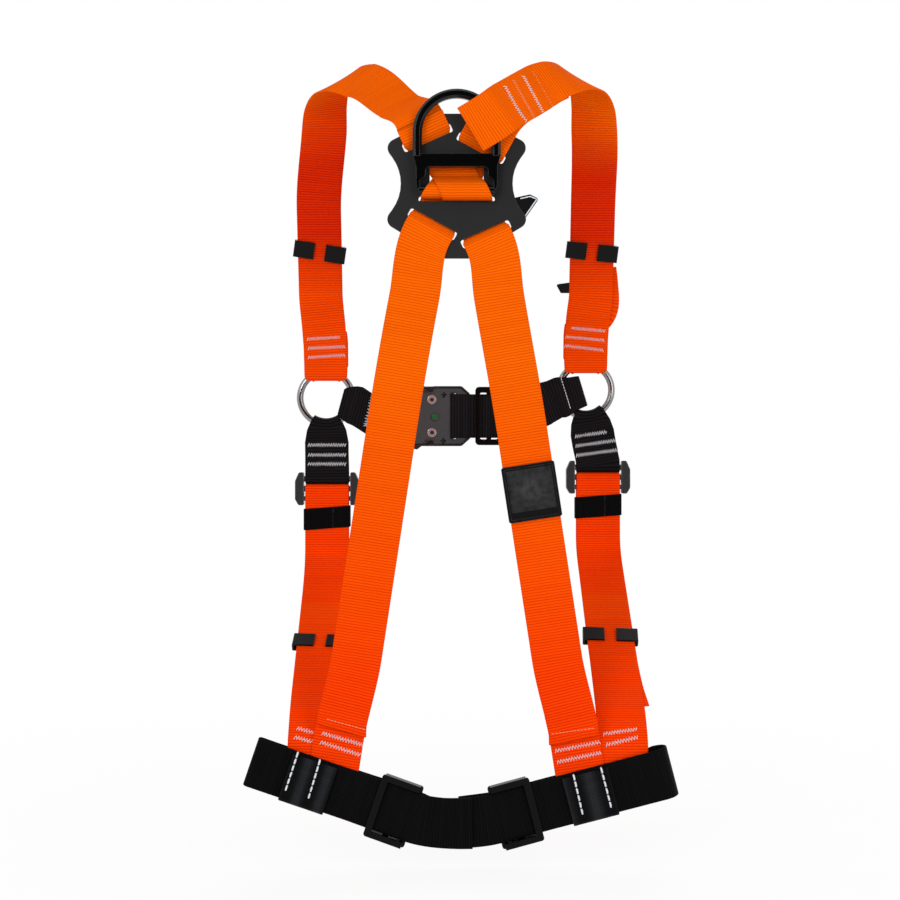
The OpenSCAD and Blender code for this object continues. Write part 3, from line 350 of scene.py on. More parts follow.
# %% The chest rings
CHEST_X = 139
CHEST_TOP, CHEST_LOW = (78, -105), (102, -190)
GATHERED = [(CLEAR, 5.1, 22.4), (27, 5.1, 22.3), (23, 5.2, 22.1), (20.2, 5.4, 21.8), (18.7, 5.3, 20.8),
            (18.0, 4.7, 18.4), (18.0, 3.3, 14.8)]
# Places from the middle of the ring, with x toward the outside.
ABOVE_RING = [(2.5, -2, 74), (1, -1.5, 55)]
LOOP_TAIL = [(0, WIRE_WRAP, CLEAR), (0, 2.4, 51), (0, 0.8, 57), (1, 0.1, 66)]
SHOULDER_SPREAD = 40


def by_ring(side, across, places):
    return [station(CHEST_RING[side] + vec(side * x, y, z), across) for x, y, z in places]


def front_run(side, across):
    ends = [(side * CHEST_X, *end) for end in (CHEST_TOP, CHEST_LOW)]
    return straight(*ends, across) + by_ring(side, across, ABOVE_RING)


def shoulder_loop(side, across):
    c = CHEST_RING[side]
    turned = ring_loop(c, UP, across, SHOULDER_SPREAD, RING_R, WIRE_WRAP)
    far_half = turned[len(turned) // 2:]
    return slack_turn(c, UP, across, GATHERED) + far_half + strap_rows(by_ring(side, across, LOOP_TAIL))


print("rows in a chest loop:", len(shoulder_loop(L, X)))

# %% [markdown]
# Now the three upper straps and the tab are put together from those runs. The left back strap ends under
# the right shoulder strap, and the right back strap becomes the left shoulder strap, as on the real
# harness. The tab is the end of the right shoulder strap that lies over the D-ring. It could be part of
# that strap, but it is a piece of its own, because it lifts when the ring swings.

# %% Upper straps
LEFT_RUN_OUT, RIGHT_RUN_OUT = 25.5, 18
# The direction across where the left shoulder strap leaves the plate. Then stations, as a place and the
# direction across: one on the left shoulder blade and three on the tab.
LEAVING = (0.88, 0.15, 0.45)
RISING = ((-53, -81, -36), (0.74, 0.38, 0.5))
TAB_RUN = [((12, -115.9, -65), (-0.48, 0, 0.877)), ((30, -115.9, -54), (-0.5, 0, 0.866)),
           ((37, -114.9, -49), (-0.52, 0, 0.85))]
left_up, left_leave = turn(0, 1, INNER_ANGLE), turn(1, 0, INNER_ANGLE)
right_up = turn(0, 1, OUTER_ANGLE)
left_exit = on_plate(*(np.array(INNER_SLOT) + np.array(left_up) * LEFT_RUN_OUT), FRONT)
right_exit = on_plate(*(np.array(right_up) * RIGHT_RUN_OUT - np.array(OUTER_SLOT)), FRONT - 0.1)
routes = {}
routes["left_back_strap"] = strap_rows(
    back_run(L)
    + slot_pass(opposite(INNER_SLOT), INNER_ANGLE, FRONT, BEHIND + PITCH / 2, 6, 1.5)
    + weave_stations(opposite(INNER_SLOT), -PITCH / 2)
    + slot_pass(INNER_SLOT, INNER_ANGLE, BEHIND + PITCH / 2, FRONT, 1.5, 20)
    + [station(left_exit, (left_leave[0], 0, left_leave[1]))]
    + sewn(PITCH + 0.5, -1))

routes["right_back_strap"] = strap_rows(
    back_run(R)
    + slot_pass(OUTER_SLOT, OUTER_ANGLE, FRONT, BEHIND - PITCH / 2, 6, 5)
    + weave_stations(OUTER_SLOT, PITCH / 2)
    + slot_pass(opposite(OUTER_SLOT), OUTER_ANGLE, BEHIND - PITCH / 2, FRONT, 5, 13)
    + [station(right_exit, LEAVING), station(*RISING)]
    + [shoulder_station(L, LEFT_CREST, a) for a in LEFT_WINDING]
    + front_run(L, X)) + shoulder_loop(L, X)

routes["right_shoulder_strap"] = strap_rows(
    sewn(0)
    + [shoulder_station(R, RIGHT_CREST, a) for a in RIGHT_WINDING]
    + front_run(R, -X)) + shoulder_loop(R, -X)

seam = sewn(0)
seam_run = unit(seam[1][0] - seam[0][0])
routes["shoulder_tab"] = strap_rows(
    [station(*place) for place in TAB_RUN]
    + [station(SEAM_LOW - seam_run * before, SEAM_ACROSS) for before in (3, 0.4)])
print("upper straps:", ", ".join(f"{k} {len(v)} rows" for k, v in routes.items()))

# %% [markdown]
# Below each ring a black loop of webbing carries the adjuster: it comes down from the ring, turns round a
# bar, and goes up again. It could be one thick band, but its two layers part at the ring and lie close at
# the bar. So one function gives the stations of a layer, and it is used for both.

# %% Lower loops
ADJUSTER = {L: vec(-133, 110, -390), R: vec(147, 110, -378)}
LOOP_BAR, LOOP_SPREAD, LOOP_NARROW = vec(0, 0, 10.15), 34, WEB - 5
BAR_LEAD, END_LEAD, BAR_SAG = vec(0, 0, 4), vec(0, 0, 1.5), vec(0, 0, -0.45)
# Shares of the way from ring to bar: the two layers draw together, and then they lie close.
DRAWN, CLOSE = 0.55, 0.66


def lower_loop(side):
    c, bar = CHEST_RING[side], ADJUSTER[side] + LOOP_BAR
    down = unit(vec(bar[0] - c[0], 0, bar[2] - c[2]))
    across = vec(-down[2], 0, down[0])

    def layer(way):
        return [station(c + down * CLEAR + way * WIRE_WRAP, across, LOOP_NARROW),
                station(mix(c, bar, DRAWN) + way * PITCH, across),
                station(mix(c, bar, CLOSE) + way * PITCH / 2, X),
                station(bar + way * BAR_WRAP + BAR_LEAD, X)]

    far_side = [station(bar - NEAR * BAR_WRAP + END_LEAD, X)] + layer(-NEAR)[::-1]
    return (strap_rows(far_side) + ring_loop(c, down, across, LOOP_SPREAD, RING_R, WIRE_WRAP)[::-1]
            + strap_rows(layer(NEAR)) + bar_turn(bar + BAR_SAG, -UP, X, BAR_WRAP))


for side, name in SIDES:
    routes[name + "_lower_loop"] = lower_loop(side)
print("lower loop rows:", len(routes["left_lower_loop"]), len(routes["right_lower_loop"]))

# %% [markdown]
# The lower front strap climbs from the seat round the adjuster's sliding bar and hangs a free tail behind
# itself, which is what the wearer pulls. Strap and tail could share one thick solid, but in the photograph
# the right tail shows beside its strap, so both layers are drawn.

# %% Lower front straps
LOWER_X = {L: -129.0, R: 149.0}
LOWER_END_Y = -110 + 2 * PITCH
LOWER_FOOT, LOWER_BEND = (-650, -615), (9, -600)
# The slope from chest to seat: a share of the way to LOWER_X, a depth and a height. The top's height is
# measured from the adjuster.
SLOPE_TOP, SLOPE_FOOT = (0.25, 68, -102), (0.9, -68.2, -574)
# Heights under the adjuster's bar between which strap and tail hang straight, and where they bend away.
HANG, HANG_BEND = (-1, -56), -60
# How far the free tail drifts sideways, and how far down the slope it ends.
TAIL = {L: (0, 1), R: (2.8, 1.1)}
TAIL_SHARES, TAIL_POWER = (0, 0.1, 0.4, 0.7, 0.85, 0.95), 6


def lower_strap(side):
    a, x, y = ADJUSTER[side], LOWER_X[side], LOWER_END_Y
    high = vec(mix(a[0], x, SLOPE_TOP[0]), SLOPE_TOP[1], a[2] + SLOPE_TOP[2])
    low = vec(mix(a[0], x, SLOPE_FOOT[0]), *SLOPE_FOOT[1:])
    square = unit(np.cross(X, low - high))
    step = square * math.copysign(PITCH + 0.2, square[1])
    near_hang, far_hang = [[a + vec(0, depth, drop) for drop in HANG] for depth in (-BAR_WRAP, BAR_WRAP)]
    drift, end = TAIL[side]
    main = (straight(*[(x, y, z) for z in LOWER_FOOT], X)
            + [station((x, y + LOWER_BEND[0], LOWER_BEND[1]), X)] + straight(low, high, X)
            + [station(a + vec(0, -BAR_WRAP, HANG_BEND), X)] + straight(*near_hang[::-1], X))
    tail = (straight(*far_hang, X) + [station(a + vec(0, BAR_WRAP, HANG_BEND), X)]
            + [station(mix(high, low, t) + step + vec(drift * t ** TAIL_POWER, 0, 0), X)
               for t in (*TAIL_SHARES, end)])
    return strap_rows(main) + bar_turn(a, UP, X, BAR_WRAP) + strap_rows(tail)


for side, name in SIDES:
    routes[name + "_lower_strap"] = lower_strap(side)
print("routes so far:", len(routes))

# %% [markdown]
# The chest strap closes the harness. Its left half is short: it gathers in the left ring and ends round the
# bar of the buckle's tongue. One function with options could draw both halves, but they share too little,
# so each is written out.

# %% Left half of the chest strap
BUCKLE = vec(-20, 107, -315)
LEVER_Y, TONGUE_T, BUCKLE_T = 2.8, 2.8, 2.5
TONGUE_WRAP, PLATE_WRAP = TONGUE_T / 2 + 1.1, BUCKLE_T / 2 + 1.1
TONGUE_BAR, PLATE_BAR = vec(-52, LEVER_Y + TONGUE_T / 2, 0), vec(20, BUCKLE_T / 2, 0)
CHEST_NARROW = WEB - 4
# The way each half leaves its ring.
CHEST_OUT = {L: unit(vec(1, 0, -0.27)), R: unit(vec(-1, 0, -0.3))}
LEFT_GATHER = [(28, 5.1, 19.8), (24, 5.1, 18.4), (20, 4.9, 16.6), (17.5, 4.2, 15), (16.6, 2.8, 14),
               (16.3, 0, 13.6), (16.6, -2.8, 14), (18, -4.4, 15), (23, -5.1, 17.5), (28, -5.1, 19.5)]


def left_chest_strap():
    c, bar, out = CHEST_RING[L], BUCKLE + TONGUE_BAR, CHEST_OUT[L]
    across = vec(-out[2], 0, out[0])
    near_side = [station(bar + NEAR * TONGUE_WRAP + vec(x, 0, 0), UP, WEB, 1) for x in (-2.5, -10)]
    near_side.append(station(c + out * CLEAR + NEAR * WIRE_WRAP, across, CHEST_NARROW, 1))
    far_side = [station(c + out * CLEAR - NEAR * WIRE_WRAP, across, CHEST_NARROW, 1)]
    far_side += [station(bar - NEAR * TONGUE_WRAP + vec(x, 0, 0), UP, WEB, 1) for x in (-10, -0.5)]
    return (strap_rows(near_side) + slack_turn(c, out, across, LEFT_GATHER)
            + strap_rows(far_side) + bar_turn(bar, X, UP, TONGUE_WRAP)[::-1])


routes["left_chest_strap"] = left_chest_strap()
print("left half:", len(routes["left_chest_strap"]), "rows")

# %% [markdown]
# The right half runs from the ring through the slider to the buckle and back, so that it can be made longer
# or shorter. The second layer could be left out, as little of it shows from behind, but its turns round the
# ring and the bar show, and they need both layers.

# %% Right half of the chest strap
SLIDER_X, SLIDER_Y = 34.0, 104.1
RIGHT_GATHER = [(28, -5.1, 20), (22, -5.2, 19), (14, -5, 17.4), (7, -4.4, 16.6), (4, -2.8, 16.2), (3, 0, 16),
                (4, 2.8, 16.2), (7, 4.6, 16.6), (14, 5.2, 17.6), (20, 5.4, 19.4), (24, 5.3, 21),
                (28, 5.1, 21.4)]
# Places on the tail and on the main run beside the ring, and the ends of the level stretch.
RIGHT_TAIL = [(82, SLIDER_Y + PITCH + 0.2, -306), (92, 108, -302)]
RIGHT_MAIN = [(88, SLIDER_Y, -303.5), (64, SLIDER_Y, BUCKLE[2] + 2)]
RIGHT_LEVEL = [(x, SLIDER_Y, BUCKLE[2]) for x in (54, 15)]


def right_chest_strap():
    c, bar, out = CHEST_RING[R], BUCKLE + PLATE_BAR, CHEST_OUT[R]
    across = vec(out[2], 0, -out[0])
    tail = [station(place, UP) for place in RIGHT_TAIL]
    tail.append(station(c + out * CLEAR - NEAR * WIRE_WRAP, across, CHEST_NARROW))
    main = [station(c + out * CLEAR + NEAR * WIRE_WRAP, across, CHEST_NARROW)]
    main += [station(place, UP) for place in RIGHT_MAIN] + straight(*RIGHT_LEVEL, UP)
    main += [station(bar + NEAR * PLATE_WRAP + vec(x, 0, 0), UP) for x in (6, 2)]
    back = [station(bar - NEAR * PLATE_WRAP + vec(x, 0, 0), UP) for x in (2, 12)]
    back.append(station((SLIDER_X + 10, bar[1] + PLATE_WRAP, BUCKLE[2]), UP))
    return (strap_rows(tail) + slack_turn(c, out, across, RIGHT_GATHER) + strap_rows(main)
            + bar_turn(bar + vec(-2.9, 0, 0), -X, UP, PLATE_WRAP, WEB + 2) + strap_rows(back))


routes["right_chest_strap"] = right_chest_strap()
print("right half:", len(routes["right_chest_strap"]), "rows")

# %% [markdown]
# The seat is two leg loops of black webbing that lap in the middle, the lowest part of the harness. Laid
# out for the photograph, they are nearly flat. They could be round loops as on a wearer, but then the
# picture would not match. Each loop runs out along the back, turns, and comes in again a few millimetres
# deeper.

# %% Leg loops
JUNCTION = {L: vec(-132, -110, -646), R: vec(119, -110, -657)}
SEAT_CENTRE = {L: vec(0, -116, -682.5), R: vec(0, -113.2, -682.5)}
SEAT_RISE, SEAT_REACH = {L: 0.34, R: 0.26}, {L: 57, R: 46}
JUNCTION_HALF, LEG_DEPTH, LOW_SHARE = 40, 6, 0.7
# The radius of the turn at the side, how far it reaches past the junction, and the lap at the centre.
SEAT_END = {L: (3.4, 11, 14), R: (11.0, 26, 20)}
LAP_DEPTH = {L: 0, R: 2.2}
FORE_END = {L: vec(-28, 8.5, 0), R: vec(4, 6.5, 0)}


def seat_out(side):
    return unit(vec(side, 0, SEAT_RISE[side]))


def seat_across(side):
    return unit(vec(-SEAT_RISE[side] * side, 0, 1))


def leg_strap(side):
    j, out, up, middle = JUNCTION[side], seat_out(side), seat_across(side), SEAT_CENTRE[side]
    r, reach, lap = SEAT_END[side]
    inner, outer = j - out * JUNCTION_HALF, j + out * JUNCTION_HALF
    low = inner - out * SEAT_REACH[side]
    low[1] = mix(j[1], middle[1], LOW_SHARE)
    end, depth = outer + out * reach, vec(0, LEG_DEPTH, 0)
    run_in = unit(inner - low)
    start = middle - vec(side * lap, 0, 0) + vec(0, LAP_DEPTH[side], 0)
    rear = ([station(start, up), station(middle, up)] + straight(low, inner - run_in * 8, up)
            + straight(inner, outer, up) + [station(end, up)])
    fore = ([station(end + vec(0, 2 * r, 0), up)] + straight(outer + depth, inner + depth, up)
            + [station(low + depth + vec(0, 2, 0), up), station(middle + FORE_END[side], up)])
    bend = []
    for k in range(1, 12):
        a = math.pi * k / 12
        bend.append(end + vec(0, r - r * math.cos(a), 0) + out * r * math.sin(a) + np.outer(ACROSS * WEB, up))
    return strap_rows(rear) + bend + strap_rows(fore)


for side, name in SIDES:
    routes[name + "_leg_strap"] = leg_strap(side)
print("leg strap rows:", len(routes["left_leg_strap"]), len(routes["right_leg_strap"]))

# %% [markdown]
# A label pocket is wrapped on the right front strap, and its edge bulges past the strap. A flat box would
# do from behind, but the bulge shows in the outline, so the pocket is a short strap whose middle is pushed
# sideways.

# %% Label pocket
POCKET_LIFT = PITCH + 1.8
POCKET_SHIFT = 5
# Heights along the strap, with how far the pocket stands out to the side there.
POCKET = [(-166, 0.5), (-172, 1.5), (-184, 3), (-196, 4.2), (-203, 3.8), (-209, 1.5), (-214, -3)]
front_slope = unit(vec(0, CHEST_TOP[0] - CHEST_LOW[0], CHEST_TOP[1] - CHEST_LOW[1]))
pocket_off = vec(0, front_slope[2], -front_slope[1]) * POCKET_LIFT + vec(POCKET_SHIFT, 0, 0)


def front_point(z):
    share = (CHEST_TOP[1] - z) / (CHEST_TOP[1] - CHEST_LOW[1])
    return vec(CHEST_X, mix(CHEST_TOP[0], CHEST_LOW[0], share), z)


routes["label_pocket"] = strap_rows([station(front_point(z) + pocket_off + vec(shift, 0, 0), -X, WEB - 4)
                                     for z, shift in POCKET])
print("routes:", len(routes))

# %% [markdown]
# ## Node helpers
# Materials are small networks of nodes. They could be clicked together in the editor, but then a script
# could not rebuild them. These helpers add a node, set its constants and link its inputs in one line each.

# %% Node helpers
SETTINGS = ("operation", "data_type", "noise_dimensions")


def feed(tree, socket, value):
    """Links another node's output to a socket, or sets the socket's constant."""
    if isinstance(value, bpy.types.NodeSocket):
        tree.links.new(value, socket)
    else:
        socket.default_value = value


def fill(tree, node, inputs):
    """Feeds several inputs of a node, by name or number."""
    for name, value in inputs.items():
        feed(tree, node.inputs[name], value)


def put(tree, kind, *values, **inputs):
    """Adds a node. Values go to its inputs by number, the others to the setting or input of that name."""
    node = tree.nodes.new(kind)
    for name in SETTINGS:
        if name in inputs:
            setattr(node, name, inputs.pop(name))
    fill(tree, node, {**dict(enumerate(values)), **inputs})
    return node


def math_node(tree, operation, *values):
    return put(tree, "ShaderNodeMath", *values, operation=operation).outputs[0]


def map_range(tree, value, low, high, to_low=0.0, to_high=1.0):
    return put(tree, "ShaderNodeMapRange", value, low, high, to_low, to_high).outputs[0]


def noise(tree, place, scale, detail):
    return put(tree, "ShaderNodeTexNoise", Vector=place, Scale=scale, Detail=detail).outputs[0]


def blend_colour(tree, share, a, b):
    node = put(tree, "ShaderNodeMix", share, data_type="RGBA")
    fill(tree, node, {6: a, 7: b})
    return node.outputs[2]


def bump(tree, strength, distance, height):
    return put(tree, "ShaderNodeBump", Strength=strength, Distance=distance, Height=height)


def uneven(tree, share, middle, spread):
    """A value that varies about its middle."""
    return math_node(tree, "MULTIPLY_ADD", share, spread, middle - spread / 2)


def grey(level):
    return (level, level, level, 1)


def new_material(name):
    """A material with its tree, its shader and the place on the object."""
    material = bpy.data.materials.new(name)
    material.use_nodes = True
    tree = material.node_tree
    place = tree.nodes.new("ShaderNodeTexCoord").outputs["Object"]
    return material, tree, tree.nodes["Principled BSDF"], place


print("node settings by name:", ", ".join(SETTINGS))

# %% [markdown]
# ## Light and background
# The photograph was taken in even studio light on white. Strong lamps could burn the background out, but
# they would bleach the webbing too. So the world and three large lamps light the harness at a plain level,
# and rays that come straight from the camera, or from a mirror, see the world as white.

# %% World and lamps
AMBIENT, SEEN_WHITE = 0.71, 1.0
AIM = (0, 0, -0.35)
# Place and aim in metres, size in metres, power in watts.
LAMPS = {"key": ((-1.1, -2.15, 0.4), AIM, 0.8, 15), "fill": ((1.3, -2.1, 0.0), AIM, 1.0, 12),
         "rim": ((0.4, 1.9, 1.2), (0, 0, -0.3), 1.4, 18)}
scene.view_settings.view_transform = "Standard"


def seen_directly(tree):
    """1 for rays that come from the camera, a mirror or glass."""
    path = tree.nodes.new("ShaderNodeLightPath")
    seen = math_node(tree, "MAXIMUM", path.outputs["Is Camera Ray"], path.outputs["Is Glossy Ray"])
    return math_node(tree, "MAXIMUM", seen, path.outputs["Is Transmission Ray"])


world = bpy.data.worlds.new("studio")
scene.world = world
world.use_nodes = True
tree = world.node_tree
strength = math_node(tree, "MULTIPLY_ADD", seen_directly(tree), SEEN_WHITE - AMBIENT, AMBIENT)
fill(tree, tree.nodes["Background"], {"Color": grey(1), "Strength": strength})

for name, (place, aim, size, power) in LAMPS.items():
    data = bpy.data.lights.new(name, "AREA")
    data.size = size
    data.energy = power
    lamp = bpy.data.objects.new(name, data)
    lamp.location = place
    lamp.rotation_euler = (Vector(aim) - Vector(place)).to_track_quat("-Z", "Y").to_euler()
    scene.collection.objects.link(lamp)
    lamp.visible_camera = False
print("lamps:", len(bpy.data.lights))

# %% [markdown]
# A pale floor lies just under the seat and keeps the shadow near the harness. It could be white all over,
# but then the shadow would be lost or a horizon would show. So farther out it glows white for the camera.

# %% Floor
FLOOR_Z, FLOOR_HALF = -0.72, 6
FLOOR_TONES = (grey(0.88), grey(0.92))
# Metres from the middle of the floor, with the share of white that the camera sees there.
SHADOW_NEAR, SHADOW_FAR = (0.25, 0.86), (1.0, 0.995)


def staged(name, corners, material):
    """A flat sheet of the studio, which is not part of the harness."""
    mesh = bpy.data.meshes.new(name)
    mesh.from_pydata(corners, [], [(0, 1, 2, 3)])
    mesh.materials.append(material)
    sheet = bpy.data.objects.new(name, mesh)
    scene.collection.objects.link(sheet)
    return sheet


floor_paint, tree, shader, place = new_material("floor_paint")
brushed = blend_colour(tree, noise(tree, place, 9.0, 3.0), *FLOOR_TONES)
fill(tree, shader, {"Base Color": brushed, "Roughness": 1.0})
glow = put(tree, "ShaderNodeEmission", Color=grey(1), Strength=1.0)
level_place = put(tree, "ShaderNodeVectorMath", place, (1, 1, 0), operation="MULTIPLY").outputs[0]
distance = put(tree, "ShaderNodeVectorMath", level_place, operation="LENGTH").outputs["Value"]
white_share = map_range(tree, distance, SHADOW_NEAR[0], SHADOW_FAR[0], SHADOW_NEAR[1], SHADOW_FAR[1])
share = math_node(tree, "MULTIPLY", seen_directly(tree), white_share)
mixed = put(tree, "ShaderNodeMixShader", share, shader.outputs[0], glow.outputs[0])
tree.links.new(mixed.outputs[0], tree.nodes["Material Output"].inputs["Surface"])
staged("floor", [(x * FLOOR_HALF, y * FLOOR_HALF, FLOOR_Z) for x, y in ((-1, -1), (1, -1), (1, 1), (-1, 1))],
       floor_paint)
print("floor at", FLOOR_Z, "m")

# %% [markdown]
# A dark card stands behind the camera, as in a photographer's studio, because polished steel looks like
# steel only when it has something dark to mirror. Dark streaks could be painted on the rings, but they
# would not move with the view. The camera itself doesn't see the card.

# %% Dark card
CARD_X, CARD_Y, CARD_TOP = 1.9, -2.5, 1.5
FELT_TONES = (grey(0.012), grey(0.02))
card_felt, tree, shader, place = new_material("card_felt")
felt = blend_colour(tree, noise(tree, place.node.outputs["Generated"], 30.0, 3.0), *FELT_TONES)
fill(tree, shader, {"Base Color": felt, "Roughness": 1.0, "Specular IOR Level": 0.0})
card_foot = FLOOR_Z + 0.001
card = staged("dark_card", [(-CARD_X, CARD_Y, card_foot), (CARD_X, CARD_Y, card_foot),
                            (CARD_X, CARD_Y, CARD_TOP), (-CARD_X, CARD_Y, CARD_TOP)], card_felt)
card.visible_camera = False
card.visible_diffuse = False
print("studio sheets: floor and", card.name)

# %% [markdown]
# ## Shared surface effects
# Several materials need the same effects: the weave of webbing, painted shade that grows with the place on
# the object, grain, and edges that show wear and painted light. Each could be copied into every material,
# but a node group is built once and placed with its own values. A group only gives masks, heights and
# values, and the shader stays in the material.

# %% Group maker
FLOAT, PLACE = "NodeSocketFloat", "NodeSocketVector"


def new_group(name, inputs, outputs):
    """A group with a place and some numbers as inputs, and numbers as outputs."""
    group = bpy.data.node_groups.new(name, "ShaderNodeTree")
    group.interface.new_socket("Vector", in_out="INPUT", socket_type=PLACE)
    for label, value in inputs.items():
        group.interface.new_socket(label, in_out="INPUT", socket_type=FLOAT).default_value = value
    for label in outputs:
        group.interface.new_socket(label, in_out="OUTPUT", socket_type=FLOAT)
    return group, group.nodes.new("NodeGroupInput").outputs, group.nodes.new("NodeGroupOutput").inputs


def use(tree, group, **inputs):
    node = tree.nodes.new("ShaderNodeGroup")
    node.node_tree = group
    fill(tree, node, inputs)
    return node.outputs


print("groups so far:", len(bpy.data.node_groups))

# %% [markdown]
# Webbing is woven with thick ribs across it and thin yarns that cross every other rib. An image of cloth
# could be laid on, but a formula stays sharp at any distance and follows the strap. It reads a UV map in
# millimetres: u runs along the strap and v across it. A little noise keeps the ribs from looking ruled.

# %% Weave group
WOBBLE, WOBBLE_SCALE, YARN_SHARE = 0.9, 0.12, 0.3
weave, given, result = new_group("weave", {"Rib": 1.8, "Yarn": 1.1}, ["Height", "Groove shade", "Rib tone"])
calc = partial(math_node, weave)
axes = put(weave, "ShaderNodeSeparateXYZ", given["Vector"]).outputs
along = calc("MULTIPLY_ADD", noise(weave, given["Vector"], WOBBLE_SCALE, 2.0), WOBBLE, axes[0])
rib = calc("DIVIDE", along, given["Rib"])
ridge = calc("SINE", calc("MULTIPLY", calc("FRACT", rib), math.pi))
count = calc("FLOOR", rib)
shifted = calc("MULTIPLY_ADD", calc("MODULO", count, 2.0), 0.5, calc("DIVIDE", axes[1], given["Yarn"]))
yarn = calc("SINE", calc("MULTIPLY", calc("FRACT", shifted), math.pi))
full = calc("POWER", ridge, 0.5)
crossed = calc("MULTIPLY_ADD", yarn, YARN_SHARE, 1 - YARN_SHARE)
weave.links.new(calc("MULTIPLY", full, crossed), result["Height"])
# Groove is the mask of the painted shade between the ribs.
weave.links.new(calc("SUBTRACT", 1.0, full), result["Groove shade"])
one_rib = put(weave, "ShaderNodeTexWhiteNoise", W=count, noise_dimensions="1D").outputs[0]
weave.links.new(one_rib, result["Rib tone"])
print("weave gives:", [s.name for s in result if s.name])

# %% [markdown]
# The orange of the harness is painted redder near the seat and on the chest side. This is painted shade:
# the lower straps slope away from the light, and the chest straps are seen on their inner face. Two colours
# could meet at a line, but shade changes slowly, so this group gives masks that grow with the place on the
# object.

# %% Painted shade group
# Heights and depths in metres where each mask of painted shade starts and where it is full. RING_DIP is the
# strength of the painted shade above and below the rings.
SEAT_SHADE_HEIGHTS, CHEST_DEPTH, CHEST_SHADE_HEIGHTS = (-0.28, -0.56), (0.0, 0.06), (-0.19, -0.13)
RING_HEIGHT, RING_DIP = (-0.31, -0.37), (0.75, 1.1)
painted_shade_group, given, result = new_group("painted_shade_group", {}, ["Low", "Chest"])
calc = partial(math_node, painted_shade_group)
axes = put(painted_shade_group, "ShaderNodeSeparateXYZ", given["Vector"]).outputs
falling = map_range(painted_shade_group, axes[2], *SEAT_SHADE_HEIGHTS)
front = map_range(painted_shade_group, axes[1], *CHEST_DEPTH)
upper = map_range(painted_shade_group, axes[2], *CHEST_SHADE_HEIGHTS)
dip = map_range(painted_shade_group, axes[2], *RING_HEIGHT, *RING_DIP)
painted_shade_group.links.new(calc("MAXIMUM", falling, calc("MULTIPLY", front, dip)), result["Low"])
painted_shade_group.links.new(calc("MULTIPLY", front, upper), result["Chest"])
print("fade gives:", [s.name for s in result if s.name])

# %% [markdown]
# Moulded plastic, paint and thread are never quite even. This group gives two noises: a broad one for
# patches of tone and a fine one for grain. One noise could do both, but then the patches and the grain
# would move together.

# %% Grain group
BROAD_SCALE = 14.0
grain, given, result = new_group("grain", {"Scale": 400.0}, ["Broad", "Fine"])
grain.links.new(noise(grain, given["Vector"], BROAD_SCALE, 4.0), result["Broad"])
grain.links.new(noise(grain, given["Vector"], given["Scale"], 3.0), result["Fine"])
print("grain gives:", [s.name for s in result if s.name])

# %% [markdown]
# Edges get a colour of their own: partly wear, since edges lose their finish first, and partly painted
# light, a painted highlight along lit edges and painted shade along the edges of the buckle's plate. They
# could be painted by hand, but the Bevel node finds them: where its rounded normal differs from the true
# one, an edge is near. A patchy noise breaks the line up, as wear does.

# %% Edge wear and painted light group
# How alike the two normals are off an edge and on a marked one, and the noise that breaks the marks up.
OFF_EDGE, ON_EDGE = 0.9995, 0.95
EDGE_BREAK_SCALE, EDGE_BREAK_NOISE, EDGE_BREAK_SHARE = 180.0, (0.35, 0.6), (0.15, 1.0)
edge_light_and_wear, given, result = new_group("edge_wear_and_painted_light", {"Radius": 0.0012, "Amount": 1.0}, ["Mask"])
calc = partial(math_node, edge_light_and_wear)
rounded = put(edge_light_and_wear, "ShaderNodeBevel", given["Radius"])
rounded.samples = 4
true_normal = edge_light_and_wear.nodes.new("ShaderNodeNewGeometry").outputs["Normal"]
compare = put(edge_light_and_wear, "ShaderNodeVectorMath", rounded.outputs[0], true_normal, operation="DOT_PRODUCT")
sharp = map_range(edge_light_and_wear, compare.outputs["Value"], OFF_EDGE, ON_EDGE)
broken = map_range(edge_light_and_wear, noise(edge_light_and_wear, given["Vector"], EDGE_BREAK_SCALE, 4.0), *EDGE_BREAK_NOISE, *EDGE_BREAK_SHARE)
edge_light_and_wear.links.new(calc("MULTIPLY", calc("MULTIPLY", sharp, broken), given["Amount"]), result["Mask"])
print("groups:", [g.name for g in bpy.data.node_groups])

# %% [markdown]
# ## Materials
# Harness webbing is polyester yarn, dyed and nearly dull. A plain colour would look like plastic, so every
# webbing takes its ribs from the weave group: the grooves get painted shade, each rib has its own tone, and
# a bump lifts them. Painted shade also makes the orange redder near the seat and on the chest side, and on
# the sleeves a painted highlight lies along the crest of each bulge.

# %% Webbing materials
WEBBING_GRAIN, WEBBING_BUMP, FUZZ = 900.0, 0.6, 0.15
PATCHES, ROUGH_SPREAD, SHADE_HUE, CREST_HIGHLIGHT_POWER = 0.3, 0.2, 0.494, 4.0


